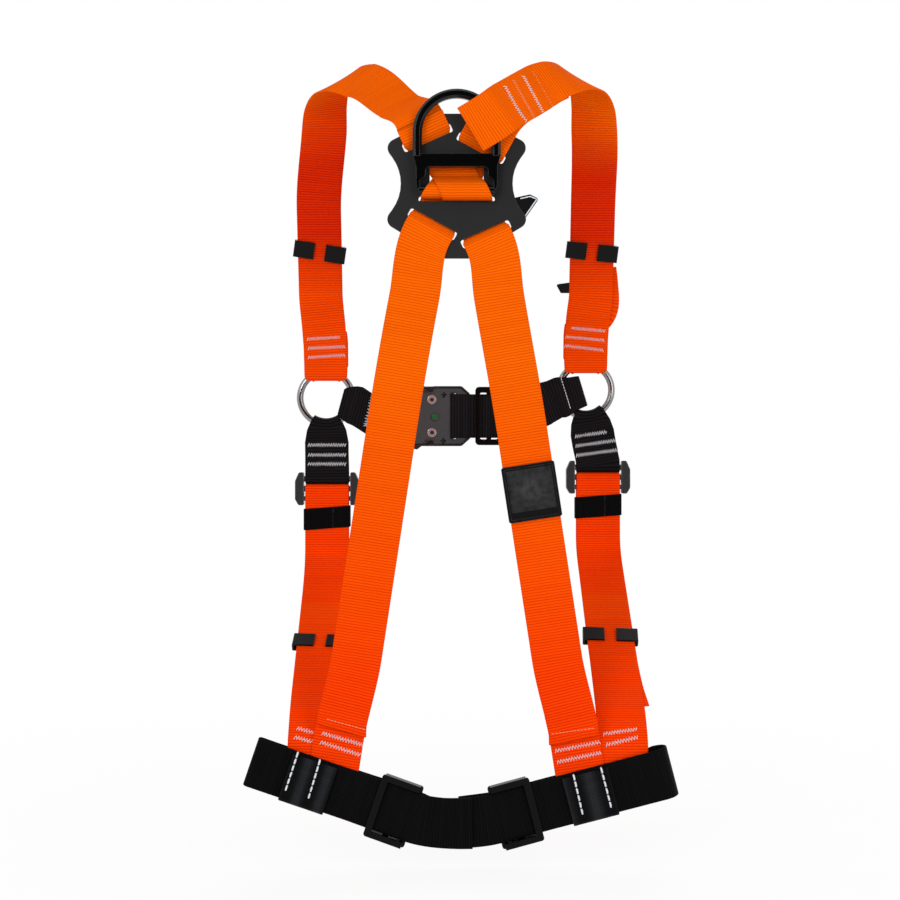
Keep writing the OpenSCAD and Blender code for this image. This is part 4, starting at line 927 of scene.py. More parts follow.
def webbing_material(name, light, rib, yarn, depth, roughness, shine, spread, groove_shade, groove_shade_tone,
                     low=None, chest=None, crest=None):
    material, tree, shader, place = new_material(name)
    uv = tree.nodes.new("ShaderNodeUVMap")
    uv.uv_map = "webbing"
    cloth = use(tree, weave, Vector=uv.outputs[0], Rib=rib, Yarn=yarn)
    tone = use(tree, grain, Vector=place, Scale=WEBBING_GRAIN)
    # Painted shade: the orange turns redder low on the harness and on the chest side, where less light falls.
    painted_shade = use(tree, painted_shade_group, Vector=place)
    body = blend_colour(tree, painted_shade["Low"], light, low or light)
    body = blend_colour(tree, painted_shade["Chest"], body, chest or light)
    # Painted highlight: a lighter colour along the crest of each sleeve bulge.
    if crest:
        bulge = tree.nodes.new("ShaderNodeAttribute")
        bulge.attribute_name = "crest"
        body = blend_colour(tree, math_node(tree, "POWER", bulge.outputs["Fac"], CREST_HIGHLIGHT_POWER), body, crest)
    # Painted shade in the grooves between ribs, with each rib's own tone and broad patches of tone added.
    rib_tone = math_node(tree, "MULTIPLY", cloth["Rib tone"], spread)
    groove_shade_and_tone = math_node(tree, "MULTIPLY_ADD", cloth["Groove shade"], groove_shade, rib_tone)
    groove_shade_and_tone = math_node(tree, "ADD", groove_shade_and_tone, uneven(tree, tone["Broad"], 0.0, PATCHES))
    clamped = put(tree, "ShaderNodeClamp", Value=groove_shade_and_tone).outputs[0]
    # The darker colour that the painted shade in the grooves and the darker tones take.
    dark = put(tree, "ShaderNodeHueSaturation", Hue=SHADE_HUE, Value=groove_shade_tone, Color=body).outputs[0]
    height = math_node(tree, "MULTIPLY_ADD", tone["Fine"], FUZZ, cloth["Height"])
    fill(tree, shader, {"Base Color": blend_colour(tree, clamped, body, dark),
                        "Roughness": uneven(tree, tone["Fine"], roughness, ROUGH_SPREAD),
                        "Specular IOR Level": shine,
                        "Normal": bump(tree, WEBBING_BUMP, depth, height).outputs[0]})
    return material


print("webbing grain:", WEBBING_GRAIN)

# %% [markdown]
# The harness has five kinds of webbing: orange straps, black straps, the finer black of the seat, its
# smooth sleeves and the elastic bands. One black could serve for all, but in the photograph they shine
# differently. Besides its main colour a webbing can have a colour of painted shade low near the seat, one
# of painted shade on the chest side and one of painted highlight on a crest.

# %% Kinds of webbing
# Colour, width of a rib and of a yarn in millimetres, height of a rib in metres, roughness, shine, spread of
# tone from rib to rib, strength of the painted shade in the grooves, and the colour tone of that shade.
WEBBINGS = {
    "orange_webbing": ((0.93, 0.128, 0.001, 1), 2.5, 1.3, 0.00045, 0.75, 0.01, 0.1, 1.0, 0.55),
    "black_webbing": ((0.011, 0.0098, 0.0115, 1), 2.9, 1.4, 0.0007, 0.5, 0.035, 0.3, 1.25, 0.12),
    "seat_webbing": ((0.0042, 0.0042, 0.0046, 1), 2.3, 1.4, 0.0006, 0.5, 0.03, 0.3, 1.1, 0.2),
    "sleeve_webbing": ((0.003, 0.003, 0.0034, 1), 2.9, 1.4, 0.0001, 0.34, 0.04, 0.2, 0.3, 0.3),
    "elastic": ((0.0035, 0.0032, 0.0036, 1), 1.4, 0.9, 0.0003, 0.6, 0.03, 0.3, 1.0, 0.2)}
# Colours of painted shade near the seat and on the chest side, and of a painted highlight on a crest.
SHADE_AND_HIGHLIGHT_COLOURS = {"orange_webbing": {"low": (0.96, 0.054, 0.001, 1), "chest": (0.72, 0.028, 0.002, 1)},
        "sleeve_webbing": {"crest": (0.021, 0.022, 0.025, 1)},
        "elastic": {"chest": (0.0035, 0.003, 0.0036, 1)}}
cloths = {name: webbing_material(name, *values, **SHADE_AND_HIGHLIGHT_COLOURS.get(name, {})) for name, values in WEBBINGS.items()}
print("webbing materials:", ", ".join(cloths))

# %% [markdown]
# Thread on a harness is thick and pale, so that an inspector sees a broken stitch. Twist could be modelled
# for every strand, but a stitch is only a few pixels long, so a fine grain in colour and bump stands for
# it. Where thread lies on orange webbing in shade, it takes on some of the orange light, so the pale
# thread's colour has that orange painted in as painted reflected light.

# %% Thread materials
THREAD_GRAIN, THREAD_BUMP, THREAD_DEPTH, THREAD_ROUGH = 2600.0, 0.5, 0.0002, 0.6


def thread_material(name, light, dark):
    material, tree, shader, place = new_material(name)
    tone = use(tree, grain, Vector=place, Scale=THREAD_GRAIN)
    twist = bump(tree, THREAD_BUMP, THREAD_DEPTH, tone["Fine"])
    fill(tree, shader, {"Base Color": blend_colour(tree, tone["Fine"], light, dark),
                        "Roughness": uneven(tree, tone["Fine"], THREAD_ROUGH, ROUGH_SPREAD),
                        "Normal": twist.outputs[0]})
    return material


white_thread = thread_material("white_thread", (0.84, 0.87, 0.9, 1), (0.62, 0.66, 0.71, 1))
# Painted reflected light: orange from the webbing painted into the pale thread.
pale_thread = thread_material("pale_thread", (0.95, 0.42, 0.25, 1), (0.8, 0.2, 0.06, 1))
print("thread materials:", white_thread.name, pale_thread.name)

# %% [markdown]
# The fittings are moulded plastic, forged and painted steel, polished steel, alloy and rubber. Their CAD
# meshes stay as they are. Sharp CAD edges would look computed, so a Bevel node softens the normal there,
# grain breaks the shine, and edges show another colour, partly wear and partly painted light: a painted
# highlight on most parts and painted shade on the buckle's plate.

# %% Hard materials
HARD_BUMP, HARD_SPREAD, BEVEL_SAMPLES = 0.4, 0.12, 10


def hard_material(name, base, edge_light_and_wear_colour, metal, roughness, grain_scale, edge_light_and_wear_amount, depth, radius=0.0012,
                  vary=0.25, shine=0.3, soft_radius=0.0007):
    material, tree, shader, place = new_material(name)
    tone = use(tree, grain, Vector=place, Scale=grain_scale)
    # Edge colour: partly wear and partly painted light, a painted highlight on lit edges and painted shade on
    # the buckle plate's edges.
    edge_light_and_wear_mask = use(tree, edge_light_and_wear, Vector=place, Radius=radius, Amount=edge_light_and_wear_amount)["Mask"]
    dull = [level * (1 - vary) for level in base]
    body = blend_colour(tree, tone["Broad"], (*base, 1), (*dull, 1))
    soft = put(tree, "ShaderNodeBevel", soft_radius)
    soft.samples = BEVEL_SAMPLES
    grained = bump(tree, HARD_BUMP, depth, tone["Fine"])
    fill(tree, grained, {"Normal": soft.outputs[0]})
    fill(tree, shader, {"Base Color": blend_colour(tree, edge_light_and_wear_mask, body, (*edge_light_and_wear_colour, 1)),
                        "Roughness": uneven(tree, tone["Fine"], roughness, HARD_SPREAD),
                        "Metallic": metal, "Specular IOR Level": shine, "Normal": grained.outputs[0]})
    return material


print("a bevel takes", BEVEL_SAMPLES, "samples")

# %% [markdown]
# These are the values of each plastic and metal: colour, edge colour of wear and painted highlight, metal,
# roughness, grain, amount of the edge colour, depth of grain and, where they differ, width of the edge and
# variation of tone. They could be set one material at a time, but side by side they are easier to compare.
# The buckle's plate is the other way round: it is grey, and its edges are dark with painted shade.

# %% Kinds of plastic and metal
hard_values = {
    "plate_plastic": ((0.017, 0.017, 0.018), (0.06, 0.06, 0.063), 0, 0.36, 1500, 0.6, 0.00004),
    "forged_black": ((0.0015, 0.0015, 0.0017), (0.03, 0.03, 0.03), 0, 0.16, 900, 0.4, 0.000006),
    "polished_steel": ((0.33, 0.327, 0.33), (0.42, 0.42, 0.42), 1.0, 0.13, 1800, 0.1, 0.000002),
    "clip_plastic": ((0.0025, 0.0025, 0.0028), (0.03, 0.03, 0.032), 0, 0.32, 1500, 0.6, 0.00003, 0.0008),
    "black_steel": ((0.0018, 0.0018, 0.002), (0.012, 0.012, 0.013), 0, 0.26, 1100, 0.5, 0.00002, 0.0009),
    "bright_steel": ((0.6, 0.6, 0.61), (0.8, 0.8, 0.8), 1.0, 0.3, 1400, 0.5, 0.00001, 0.0008),
    "green_enamel": ((0.01, 0.1, 0.03), (0.05, 0.22, 0.08), 0, 0.34, 1600, 0.4, 0.00002, 0.0006),
    "black_rubber": ((0.0035, 0.0035, 0.004), (0.05, 0.05, 0.052), 0, 0.4, 1300, 0.7, 0.00005, 0.0009),
    "patch_face": ((0.013, 0.0135, 0.0145), (0.06, 0.06, 0.062), 0, 0.5, 1300, 0.5, 0.00006, 0.0009, 0.1),
    "grey_alloy": ((0.03, 0.03, 0.032), (0.26, 0.26, 0.265), 0.3, 0.3, 900, 0.8, 0.00001, 0.0013),
    # The buckle plate's dark edge colour is painted shade.
    "buckle_alloy": ((0.052, 0.059, 0.063), (0.008, 0.009, 0.0095), 0.2, 0.34, 900, 1.0, 0.00001, 0.0042),
}
finishes = {"plate_plastic": {"shine": 0.25}, "clip_plastic": {"shine": 0.14}, "black_steel": {"shine": 0.1},
            "black_rubber": {"shine": 0.12}, "patch_face": {"shine": 0.2}, "grey_alloy": {"shine": 0.5},
            "buckle_alloy": {"shine": 0.4}, "polished_steel": {"soft_radius": 0.0022}}
hard = {name: hard_material(name, *values, **finishes.get(name, {})) for name, values in hard_values.items()}
print("hard materials:", ", ".join(hard))

# %% [markdown]
# Each fitting then gets its material. That could be done by clicking, object by object, but a list by
# material shows at a glance which parts are made alike.

# %% Fittings and their materials
def both(ending):
    return ["left_" + ending, "right_" + ending]


hard_nodes = {
    "plate_plastic": ["dorsal_plate"],
    "forged_black": ["dorsal_ring"],
    "polished_steel": both("chest_ring"),
    "clip_plastic": both("upper_clip") + both("lower_clip"),
    "black_steel": both("leg_adjuster") + ["chest_slider"],
    "bright_steel": ["buckle_rivets", "buckle_springs"],
    "green_enamel": ["lock_indicator"],
    "black_rubber": ["rubber_patch", "dorsal_tag", "front_tag"],
    "grey_alloy": both("adjuster_frame") + both("adjuster_bar")
    + ["buckle_front_plate", "buckle_tongue", "buckle_upper_lever", "buckle_lower_lever"],
    "buckle_alloy": ["buckle_back_plate"],
}
for slot, members in hard_nodes.items():
    for name in members:
        for entry in nodes[name].material_slots:
            entry.material = hard[slot]
print("materials:", len(bpy.data.materials), "hard nodes:", sum(len(m) for m in hard_nodes.values()))

# %% [markdown]
# ## Webbing
# Every mesh of this scene ends in the same way: millimetres become metres, faces are smooth, and the object
# rides on a body of the frame. Rows that lie far apart get more rows between them. A subdivision modifier
# could add those, but it would also pull the strap off its route.

# %% Mesh helpers
LONGEST_FACE = 3.4


def surface_normals(points):
    along = np.gradient(points, axis=0)
    across = np.gradient(points, axis=1)
    normal = np.cross(along, across)
    return normal / np.linalg.norm(normal, axis=2, keepdims=True)


def finish_mesh(name, points, faces, material, body):
    """Millimetres to metres, smooth faces, a material, and a body to ride on."""
    mesh = bpy.data.meshes.new(name)
    mesh.from_pydata([tuple(p) for p in np.asarray(points) * MM], [], faces)
    mesh.materials.append(material)
    mesh.polygons.foreach_set("use_smooth", [True] * len(mesh.polygons))
    obj = bpy.data.objects.new(name, mesh)
    scene.collection.objects.link(obj)
    if body:
        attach(obj, body)
    return obj


def filled(rows):
    """The rows of a strap, with more where two of them lie far apart."""
    full = [rows[0]]
    for row in rows[1:]:
        last = full[-1]
        pieces = math.ceil(np.linalg.norm(row - last, axis=1).max() / LONGEST_FACE)
        full += [mix(last, row, k / pieces) for k in range(1, pieces + 1)] if pieces > 1 else [row]
    return np.array(full)


print("longest face:", LONGEST_FACE, "mm")

# %% [markdown]
# A strap is a closed mesh: its middle surface, thickened on both sides, with rounded selvedges. Blender's
# Solidify could thicken it, but writing the faces out keeps the selvedges round and gives every face its
# place in the UV map, in millimetres along and across.

# %% Strap builder
# The share of the thickness at each column, thinner toward the selvedges.
HALF = np.ones(len(ACROSS))
HALF[[0, -1]] = 0.0
HALF[[1, -2]] = 0.62
grids = {}


def strap(name, rows, material, body="webbing", stands_for=None, thick=THICK):
    """One piece of webbing from rows of points on its middle surface."""
    grid = filled(rows)
    n, m = grid.shape[:2]
    normal = surface_normals(grid)
    grids[name] = (grid, normal)
    half = (HALF * thick / 2)[None, :, None]
    top, low = grid + normal * half, grid - normal * half
    index = np.arange(n * m).reshape(n, m)
    under = index.copy()
    under[:, 1:-1] = n * m + np.arange(n * (m - 2)).reshape(n, m - 2)
    points = np.concatenate([top.reshape(-1, 3), low[:, 1:-1].reshape(-1, 3)])
    u = np.concatenate([[0], np.cumsum(np.linalg.norm(np.diff(grid[:, m // 2], axis=0), axis=1))])
    v = np.linalg.norm(grid - grid[:, :1], axis=2)
    faces, uvs = [], []
    for i in range(n - 1):
        for j in range(m - 1):
            corners = [(i, j), (i, j + 1), (i + 1, j + 1), (i + 1, j)]
            for sheet, order in ((index, corners[::-1]), (under, corners)):
                faces.append([int(sheet[c]) for c in order])
                uvs += [(u[c[0]], v[c]) for c in order]
    for i, flip in ((0, 1), (n - 1, -1)):
        there, back = [(i, j) for j in range(m)], [(i, j) for j in range(m - 2, 0, -1)]
        loop = [int(index[c]) for c in there] + [int(under[c]) for c in back]
        faces.append(loop[::flip])
        uvs += [(u[c[0]], v[c]) for c in (there + back)[::flip]]
    obj = finish_mesh(name, points, faces, material, body)
    layer = obj.data.uv_layers.new(name="webbing")
    layer.data.foreach_set("uv", np.array(uvs, np.float32).ravel())
    if stands_for:
        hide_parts(stands_for)
    return obj


print("a strap has", 2 * (len(ACROSS) - 1), "faces in each row")

# %% [markdown]
# Low on the back each strap ends in a fold that lies on a short foot, and the foot carries on to the seat.
# The fold could be a dark line on one strap, but in the photograph its lip stands off and casts a shadow.
# So the strap's rows are split in two layers, and the upper one gets a rolled lip.

# %% Folds above the seat
# The height of the lip and its tilt.
FOLD = {L: (-598, -0.065), R: (-606.7, 0.0)}
FOLD_OFF, FOLD_ROLL = 6.4, 1.5
FOLD_TOP, FOLD_LENGTH = -535, 45
FOOT_OVERLAP, LIP_START, LIP_RISE = 24, 4, (14, 6, 0)
BACK_LIMIT = -100


def fold_over(rows, side):
    """Splits a back strap in its foot and the layer that is turned in and lies on the foot."""
    height, tilt = FOLD[side]
    middle = len(ACROSS) // 2
    foot = [r for r in rows if r[middle][2] < height + FOOT_OVERLAP]
    over = []
    for r in rows:
        z, y = r[middle][2], r[middle][1]
        if z < height + LIP_START and y < 0:
            continue
        share = np.clip((FOLD_TOP - z) / FOLD_LENGTH, 0, 1) if y < BACK_LIMIT else 0
        over.append(r + vec(0, -FOLD_OFF * share * share * (3 - 2 * share), 0))
    first = over[0]
    level = first + np.outer((height - first[middle][2]) + tilt * (first[:, 0] - first[middle][0]), UP)
    lip = [level + vec(0, 2 * FOLD_ROLL, rise) for rise in LIP_RISE]
    for k in range(1, 6):
        a = math.pi * k / 6
        lip.append(level + vec(0, FOLD_ROLL + FOLD_ROLL * math.cos(a), -FOLD_ROLL * math.sin(a)))
    return foot, lip + [level] + over[1:]


feet = {}
for side, name in SIDES:
    strap_name = name + "_back_strap"
    feet[strap_name], routes[strap_name] = fold_over(routes[strap_name], side)
print("feet:", {k: len(v) for k, v in feet.items()})

# %% [markdown]
# Now every strap becomes a mesh in place of its CAD solid. All of them ride on the webbing's body but one:
# the tab over the D-ring. It could follow the ring all the way, but webbing doesn't stretch, so here it
# rides on no body, and its place is baked into its mesh.

# %% Every strap
orange_names = both("back_strap") + ["right_shoulder_strap"] + both("lower_strap") + ["label_pocket"]
orange = cloths["orange_webbing"]
for name in orange_names:
    strap(name + "_web", routes[name], orange, stands_for=name)
for name, rows in feet.items():
    strap(name + "_foot", rows, orange)
for name in both("lower_loop") + both("chest_strap") + both("leg_strap"):
    cloth = cloths["seat_webbing" if "leg" in name else "black_webbing"]
    strap(name + "_web", routes[name], cloth, stands_for=name)
tab = strap("shoulder_tab_web", routes["shoulder_tab"], orange, body=None, stands_for="shoulder_tab")
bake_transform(tab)
print("straps:", len(grids))

# %% [markdown]
# Under each adjuster an elastic band holds the strap and its tail together. It is a closed band, so it
# could be a cut tube, but it is woven too, so it is made as a strap that runs round a rounded box. Each
# band rides on a body of its own, because it slides.

# %% Elastic keepers
KEEPER_H, KEEPER_T, KEEPER_LEAN = 22.0, 1.3, 0.075
KEEPER_DROP, KEEPER_CORNER = 19, 2.0


def rounded_path(corners, radius, steps=6):
    """A closed path with rounded corners, as points in a plane."""
    corners = [np.array(c, float) for c in corners]
    path = []
    for i, corner in enumerate(corners):
        a, b = corners[i - 1], corners[(i + 1) % len(corners)]
        p, q = corner + unit(a - corner) * radius, corner + unit(b - corner) * radius
        for k in range(steps + 1):
            t = k / steps
            path.append(p * (1 - t) ** 2 + corner * 2 * t * (1 - t) + q * t * t)
    return path + [path[0]]


for side, name in SIDES:
    centre = ADJUSTER[side] + vec(0, 0, -KEEPER_DROP - KEEPER_H / 2)
    wide, deep = WEB / 2 + LAY + KEEPER_T / 2, BAR_WRAP + THICK / 2 + LAY + KEEPER_T / 2
    path = rounded_path([(-wide, -deep), (wide, -deep), (wide, deep), (-wide, deep)], KEEPER_CORNER)
    rows = [centre + vec(x, y, KEEPER_LEAN * x) + np.outer(ACROSS * KEEPER_H, UP) for x, y in path]
    keeper = name + "_keeper"
    strap(keeper + "_band", rows, cloths["elastic"], keeper, keeper, KEEPER_T)
print("with keepers:", len(grids))

# %% [markdown]
# At each junction a sleeve of webbing folds round the leg loop and is sewn through twice. Between and
# beside the seams it bulges. A cloth simulation would give such bulges, but here they are even and few, so
# a sine wave between the two seams does the job, and the crest is stored for the material, which paints a
# highlight along it.

# %% Junction sleeves
SLEEVE, SWELL = 42.0, 3.2
# Where the two seams lie along the sleeve, from its middle.
VALLEYS = {L: (15.6, -4.5), R: (-10.6, 14.9)}


def sleeve_path(y0, y1, low, half_h):
    """Depth and height round a sleeve: down the near face, under the loop, up the far face."""
    path = [(y0, z) for z in np.linspace(half_h - 3, low + 2, 18)]
    path += [(mix(y0, y1, t), low - 0.3 * math.sin(math.pi * t)) for t in np.linspace(0.08, 0.92, 8)]
    return path + [(y1, z) for z in np.linspace(low + 2, half_h - 3, 18)]


for side, name in SIDES:
    out, up, place = seat_out(side), seat_across(side), JUNCTION[side]
    near, room, half_h = -THICK / 2 - LAY, 3 * PITCH + THICK + 3 * LAY, WEB / 2 + LAY
    y0, y1, low = near - THICK / 2, near + room + THICK / 2, -half_h - THICK / 2
    first, second = VALLEYS[side]
    swell = SWELL * np.abs(np.sin(math.pi * (ACROSS * SLEEVE - first) / (second - first)))
    rows = []
    for y, z in sleeve_path(y0, y1, low, half_h):
        full = math.sin(math.pi * np.clip((z - low) / (2 * half_h), 0.12, 0.88)) ** 0.5 if y == y0 else 0
        points = place + up * z + vec(0, y, 0) + np.outer(ACROSS * SLEEVE, out)
        points[:, 1] -= swell * full
        rows.append(points)
    sleeve = strap(name + "_sleeve_web", rows, cloths["sleeve_webbing"],
                   stands_for=name + "_junction_sleeve")
    along = (np.array([v.co for v in sleeve.data.vertices]) / MM - place) @ out
    # The crest is the mask of a painted highlight along each bulge.
    crest = np.abs(np.sin(math.pi * (along - first) / (second - first)))
    sleeve.data.attributes.new("crest", "FLOAT", "POINT").data.foreach_set("value", crest.astype(np.float32))
print("with sleeves:", len(grids))

# %% [markdown]
# ## Thread
# Seams carry the load of a harness, so they are dense and easy to see. A texture could show them, but a
# zigzag stands above the cloth and catches light, so each seam is a tube of thread. A seam's ends are
# pixels of the picture: `pick` finds the point of a strap's face under a pixel, and `seam_line` joins such
# points.

# %% Finding a seam's place
# Points within PIXEL_REACH are tried. EDGE_ON faces are left out, and a point outside its face costs more.
PIXEL_REACH, EDGE_ON, OUTSIDE, OUTSIDE_COST, STRETCH = 4, 0.05, 0.8, 40, 1.3


def pick(name, pixel):
    """The point of a strap's face under a pixel, and the face's direction toward the viewer."""
    pixel = np.array(pixel, float)
    grid, normal = grids[name]
    normal = normal * np.sign((normal * (EYE - grid)).sum(2, keepdims=True))
    face = grid + normal * THICK / 2
    spots = to_pixel(face)
    off = np.linalg.norm(spots - pixel, axis=2)
    found = []
    for i, j in np.argwhere(off < off.min() + PIXEL_REACH):
        i2 = i + 1 if i + 1 < len(grid) else i - 1
        j2 = j + 1 if j + 1 < grid.shape[1] - 1 else j - 1
        slopes = np.stack([spots[i2, j] - spots[i, j], spots[i, j2] - spots[i, j]], 1)
        if abs(np.linalg.det(slopes)) < EDGE_ON:
            continue
        a, b = np.linalg.solve(slopes, pixel - spots[i, j])
        miss = max(abs(a), abs(b), OUTSIDE) - OUTSIDE
        a, b = np.clip([a, b], -STRETCH, STRETCH)
        point = face[i, j] + a * (face[i2, j] - face[i, j]) + b * (face[i, j2] - face[i, j])
        found.append((point[1] + OUTSIDE_COST * miss, tuple(point), tuple(normal[i, j])))
    best = min(found)
    return np.array(best[1]), np.array(best[2])


def seam_line(name, a, b):
    """A smooth line on a strap between two pixels: its place, direction and normal at t, and its length."""
    ts = np.linspace(0, 1, 13)
    found = [pick(name, mix(np.array(a, float), np.array(b, float), t)) for t in ts]
    fit = np.polyfit(ts, np.array([f[0] for f in found]), 3)
    face = np.polyfit(ts, np.array([f[1] for f in found]), 2)

    def place(t):
        return fit[0] * t ** 3 + fit[1] * t ** 2 + fit[2] * t + fit[3]

    def run(t):
        return unit(3 * fit[0] * t ** 2 + 2 * fit[1] * t + fit[2])

    def up(t):
        return unit(face[0] * t ** 2 + face[1] * t + face[2])

    length = sum(np.linalg.norm(place(t + 0.05) - place(t)) for t in np.arange(0, 0.999, 0.05))
    return place, run, up, length


print("straps to sew on:", len(grids))

# %% [markdown]
# Two stitches are enough. A zigzag is one long path that swings from side to side, with small differences
# as a machine leaves them. A running stitch is many short paths that dip into the cloth at both ends. Both
# could be copies of one modelled stitch, but a path follows the strap's curve more closely.

# %% Stitches
ZIGZAG_PITCH, ZIGZAG_REACH, FINE_THREAD = 1.25, 2.1, 0.28
SWING_SPREAD, ALONG_SPREAD, CROSSING_LIFT, TURNING_LIFT = (0.8, 1.1), (-0.12, 0.12), 0.9, -0.1
# Shares of a stitch's length, with its height there in thread radii.
STITCH_SHAPE = ((0, -0.9), (0.12, 0.2), (0.35, 0.6), (0.65, 0.6), (0.88, 0.2), (1, -0.9))


def zigzag(name, a, b, reach=ZIGZAG_REACH):
    """One row of dense zigzag stitches, as a path."""
    place, run, up, length = seam_line(name, a, b)
    count = int(length / ZIGZAG_PITCH)
    path = []
    for k in range(count * 2 + 1):
        t = k / (2 * count)
        side = np.cross(up(t), run(t))
        swing = (0 if k % 2 else (1 if k % 4 else -1)) * reach * random.uniform(*SWING_SPREAD)
        lift = FINE_THREAD * (CROSSING_LIFT if k % 2 else TURNING_LIFT)
        spot = place(t) + side * swing + up(t) * lift + run(t) * random.uniform(*ALONG_SPREAD)
        path.append((spot, up(t)))
    return path


def zigzags(seams, reach=ZIGZAG_REACH):
    """Zigzag rows between pairs of pixels, listed by strap."""
    return [zigzag(name, a, b, reach) for name, ends in seams.items() for a, b in ends]


def running(seams, stitch, gap, r):
    """Lines of single stitches between pairs of pixels, each a short path that dips into the cloth."""
    paths = []
    for name, a, b in ((name, a, b) for name, ends in seams.items() for a, b in ends):
        place, _, up, length = seam_line(name, a, b)
        count = max(1, round(length / (stitch + gap)))
        for k in range(count):
            start, end = k / count, (k + stitch / (stitch + gap)) / count
            ts = [(mix(start, end, q), h) for q, h in STITCH_SHAPE]
            paths.append([(place(t) + up(t) * r * h, up(t)) for t, h in ts])
    return paths


print("a zigzag has", round(1 / ZIGZAG_PITCH, 2), "swings in a millimetre")

# %% [markdown]
# A thread is a thin round tube along such a path. Curves with a bevel would draw it, but a mesh made here
# has closed ends and rides on a body as everything else does.

# %% Thread tubes
THREAD_SIDES = 6


def thread(label, paths, r, material, body="webbing", sides=THREAD_SIDES):
    """Tubes along paths of points with normals, as one object."""
    points, faces = [], []
    for path in paths:
        spots = np.array([p[0] for p in path])
        runs = np.gradient(spots, axis=0)
        start = len(points)
        for (spot, up), run in zip(path, runs):
            side = unit(np.cross(up, unit(run)))
            over = unit(np.cross(run, side))
            for k in range(sides):
                a = 2 * math.pi * k / sides
                points.append(spot + (side * math.cos(a) + over * math.sin(a)) * r)
        for i in range(len(path) - 1):
            for k in range(sides):
                p, q = start + i * sides + k, start + i * sides + (k + 1) % sides
                faces.append([p, q, q + sides, p + sides])
        faces.append([start + k for k in range(sides)][::-1])
        faces.append([start + (len(path) - 1) * sides + k for k in range(sides)])
    return finish_mesh(label, points, faces, material, body)


print("threads have", THREAD_SIDES, "sides")

# %% [markdown]
# These are the seams that the photograph shows: three rows over each chest ring and under it, a box at the
# right shoulder, two rows on every foot at the seat, a line at each fold, and two heavy lines on each
# sleeve. Their ends are pixels in a picture of 900 by 900. Millimetres would do too, but a seam is easier
# to check against a picture this way.

# %% Where the seams lie
CHEST_SEAMS = {
    "right_back_strap_web": [((307, 339), (345, 337)), ((308, 348.3), (345, 346.6)),
                             ((308, 357.4), (345, 355.3))],
    "right_shoulder_strap_web": [((566.7, 327.6), (605, 331)), ((565.5, 336.7), (604.3, 340.3)),
                                 ((564.5, 345.6), (603.4, 350.3)),
                                 ((505, 86), (524.7, 122.5)), ((523.3, 76), (543.3, 112.5))]}
SHOULDER_FAINT = {"right_shoulder_strap_web": [((513.3, 80), (534.2, 117.5))]}
SHOULDER_LINE = {"right_shoulder_strap_web": [((532.5, 71), (553, 107))]}
LOOP_SEAMS = {
    "left_lower_loop_web": [((308, y), (346, y)) for y in (445, 455, 464)],
    "right_lower_loop_web": [((575, 436.5), (613, 431)), ((575.5, 446), (615, 440.5)),
                             ((576, 455.5), (617, 450))]}
CHEST_STRAP_SEAM = {"left_chest_strap_web": [((375.4, 387), (366, 427))]}
CHEST_STRAP_LINE = {"right_chest_strap_web": [((561, 378), (570.6, 409))]}
SEAT_SEAMS = {
    "left_back_strap_foot": [((322, 733), (362.7, 745)), ((320.5, 742), (360, 755))],
    "right_back_strap_foot": [((555, 751), (600, 742)), ((557, 762), (601, 752.6))],
    "left_lower_strap_web": [((297, 728), (318, 734)), ((294.5, 737), (316, 743))],
    "right_lower_strap_web": [((603, 734), (637, 729)), ((606, 745), (638, 737))]}
FOLD_LINES = {"left_back_strap_web": [((327, 719), (366, 730))],
              "right_back_strap_web": [((551.5, 734), (595, 728))]}
SLEEVE_LINES = {"left_sleeve_web": [((298, 752.5), (285, 792)), ((320, 760), (308, 800))],
                "right_sleeve_web": [((573.5, 775), (583, 816)), ((601, 768), (611.5, 809))]}
print("zigzag seams on straps:", ", ".join({**CHEST_SEAMS, **LOOP_SEAMS, **SEAT_SEAMS}))

# %% [markdown]
# Now the seams are sewn. Each group of seams with the same thread becomes one object. One object for each
# seam would do as well, but it would fill the list of objects. The numbers are millimetres: the reach of a
# zigzag, the length of a stitch and the gap after it, and the thread's radius.

# %% Sewing
FAINT_THREAD, LOOP_THREAD, HEAVY_THREAD = 0.26, 0.34, 0.9
thread("front_loop_thread", zigzags(CHEST_SEAMS), FINE_THREAD, white_thread)
faint = zigzags(SHOULDER_FAINT, reach=1.8) + running(SHOULDER_LINE, stitch=1.6, gap=1.4, r=0.35)
thread("shoulder_seam_thread", faint, FAINT_THREAD, pale_thread)
loops = zigzags(LOOP_SEAMS) + zigzags(CHEST_STRAP_SEAM, reach=3.4)
loops += running(CHEST_STRAP_LINE, stitch=2.6, gap=0.5, r=0.55)
thread("loop_thread", loops, LOOP_THREAD, white_thread)
thread("seat_thread", zigzags(SEAT_SEAMS), FINE_THREAD, white_thread)
thread("fold_thread", running(FOLD_LINES, stitch=2.4, gap=0.9, r=0.35), LOOP_THREAD, pale_thread)
heavy = running(SLEEVE_LINES, stitch=4.6, gap=1.6, r=HEAVY_THREAD)
thread("sleeve_thread", heavy, HEAVY_THREAD, white_thread)

# %% [markdown]
# ## Small marks
# The small marks are steps in height on a flat face: hollows, arrows, a panel. They could be painted, but a
# step catches light at its edge, so each is a thin plate with a straight rim. A bead or a pale edge is a
# tube along a chain of corners.

# %% Plates, circles and chains
def flat_piece(label, corners, thick, material):
    """A flat plate with its near face on the given corners, and the far face a little deeper."""
    n = len(corners)
    points = np.concatenate([corners, np.array(corners) + vec(0, thick, 0)])
    faces = [list(range(n)), list(range(2 * n - 1, n - 1, -1))]
    faces += [[k, k + n, (k + 1) % n + n, (k + 1) % n] for k in range(n)]
    return finish_mesh(label, points, faces, material, "webbing")


def circle(centre, r, count=28):
    angles = [2 * math.pi * k / count for k in range(count)]
    return [centre + vec(r * math.cos(a), 0, r * math.sin(a)) for a in angles]


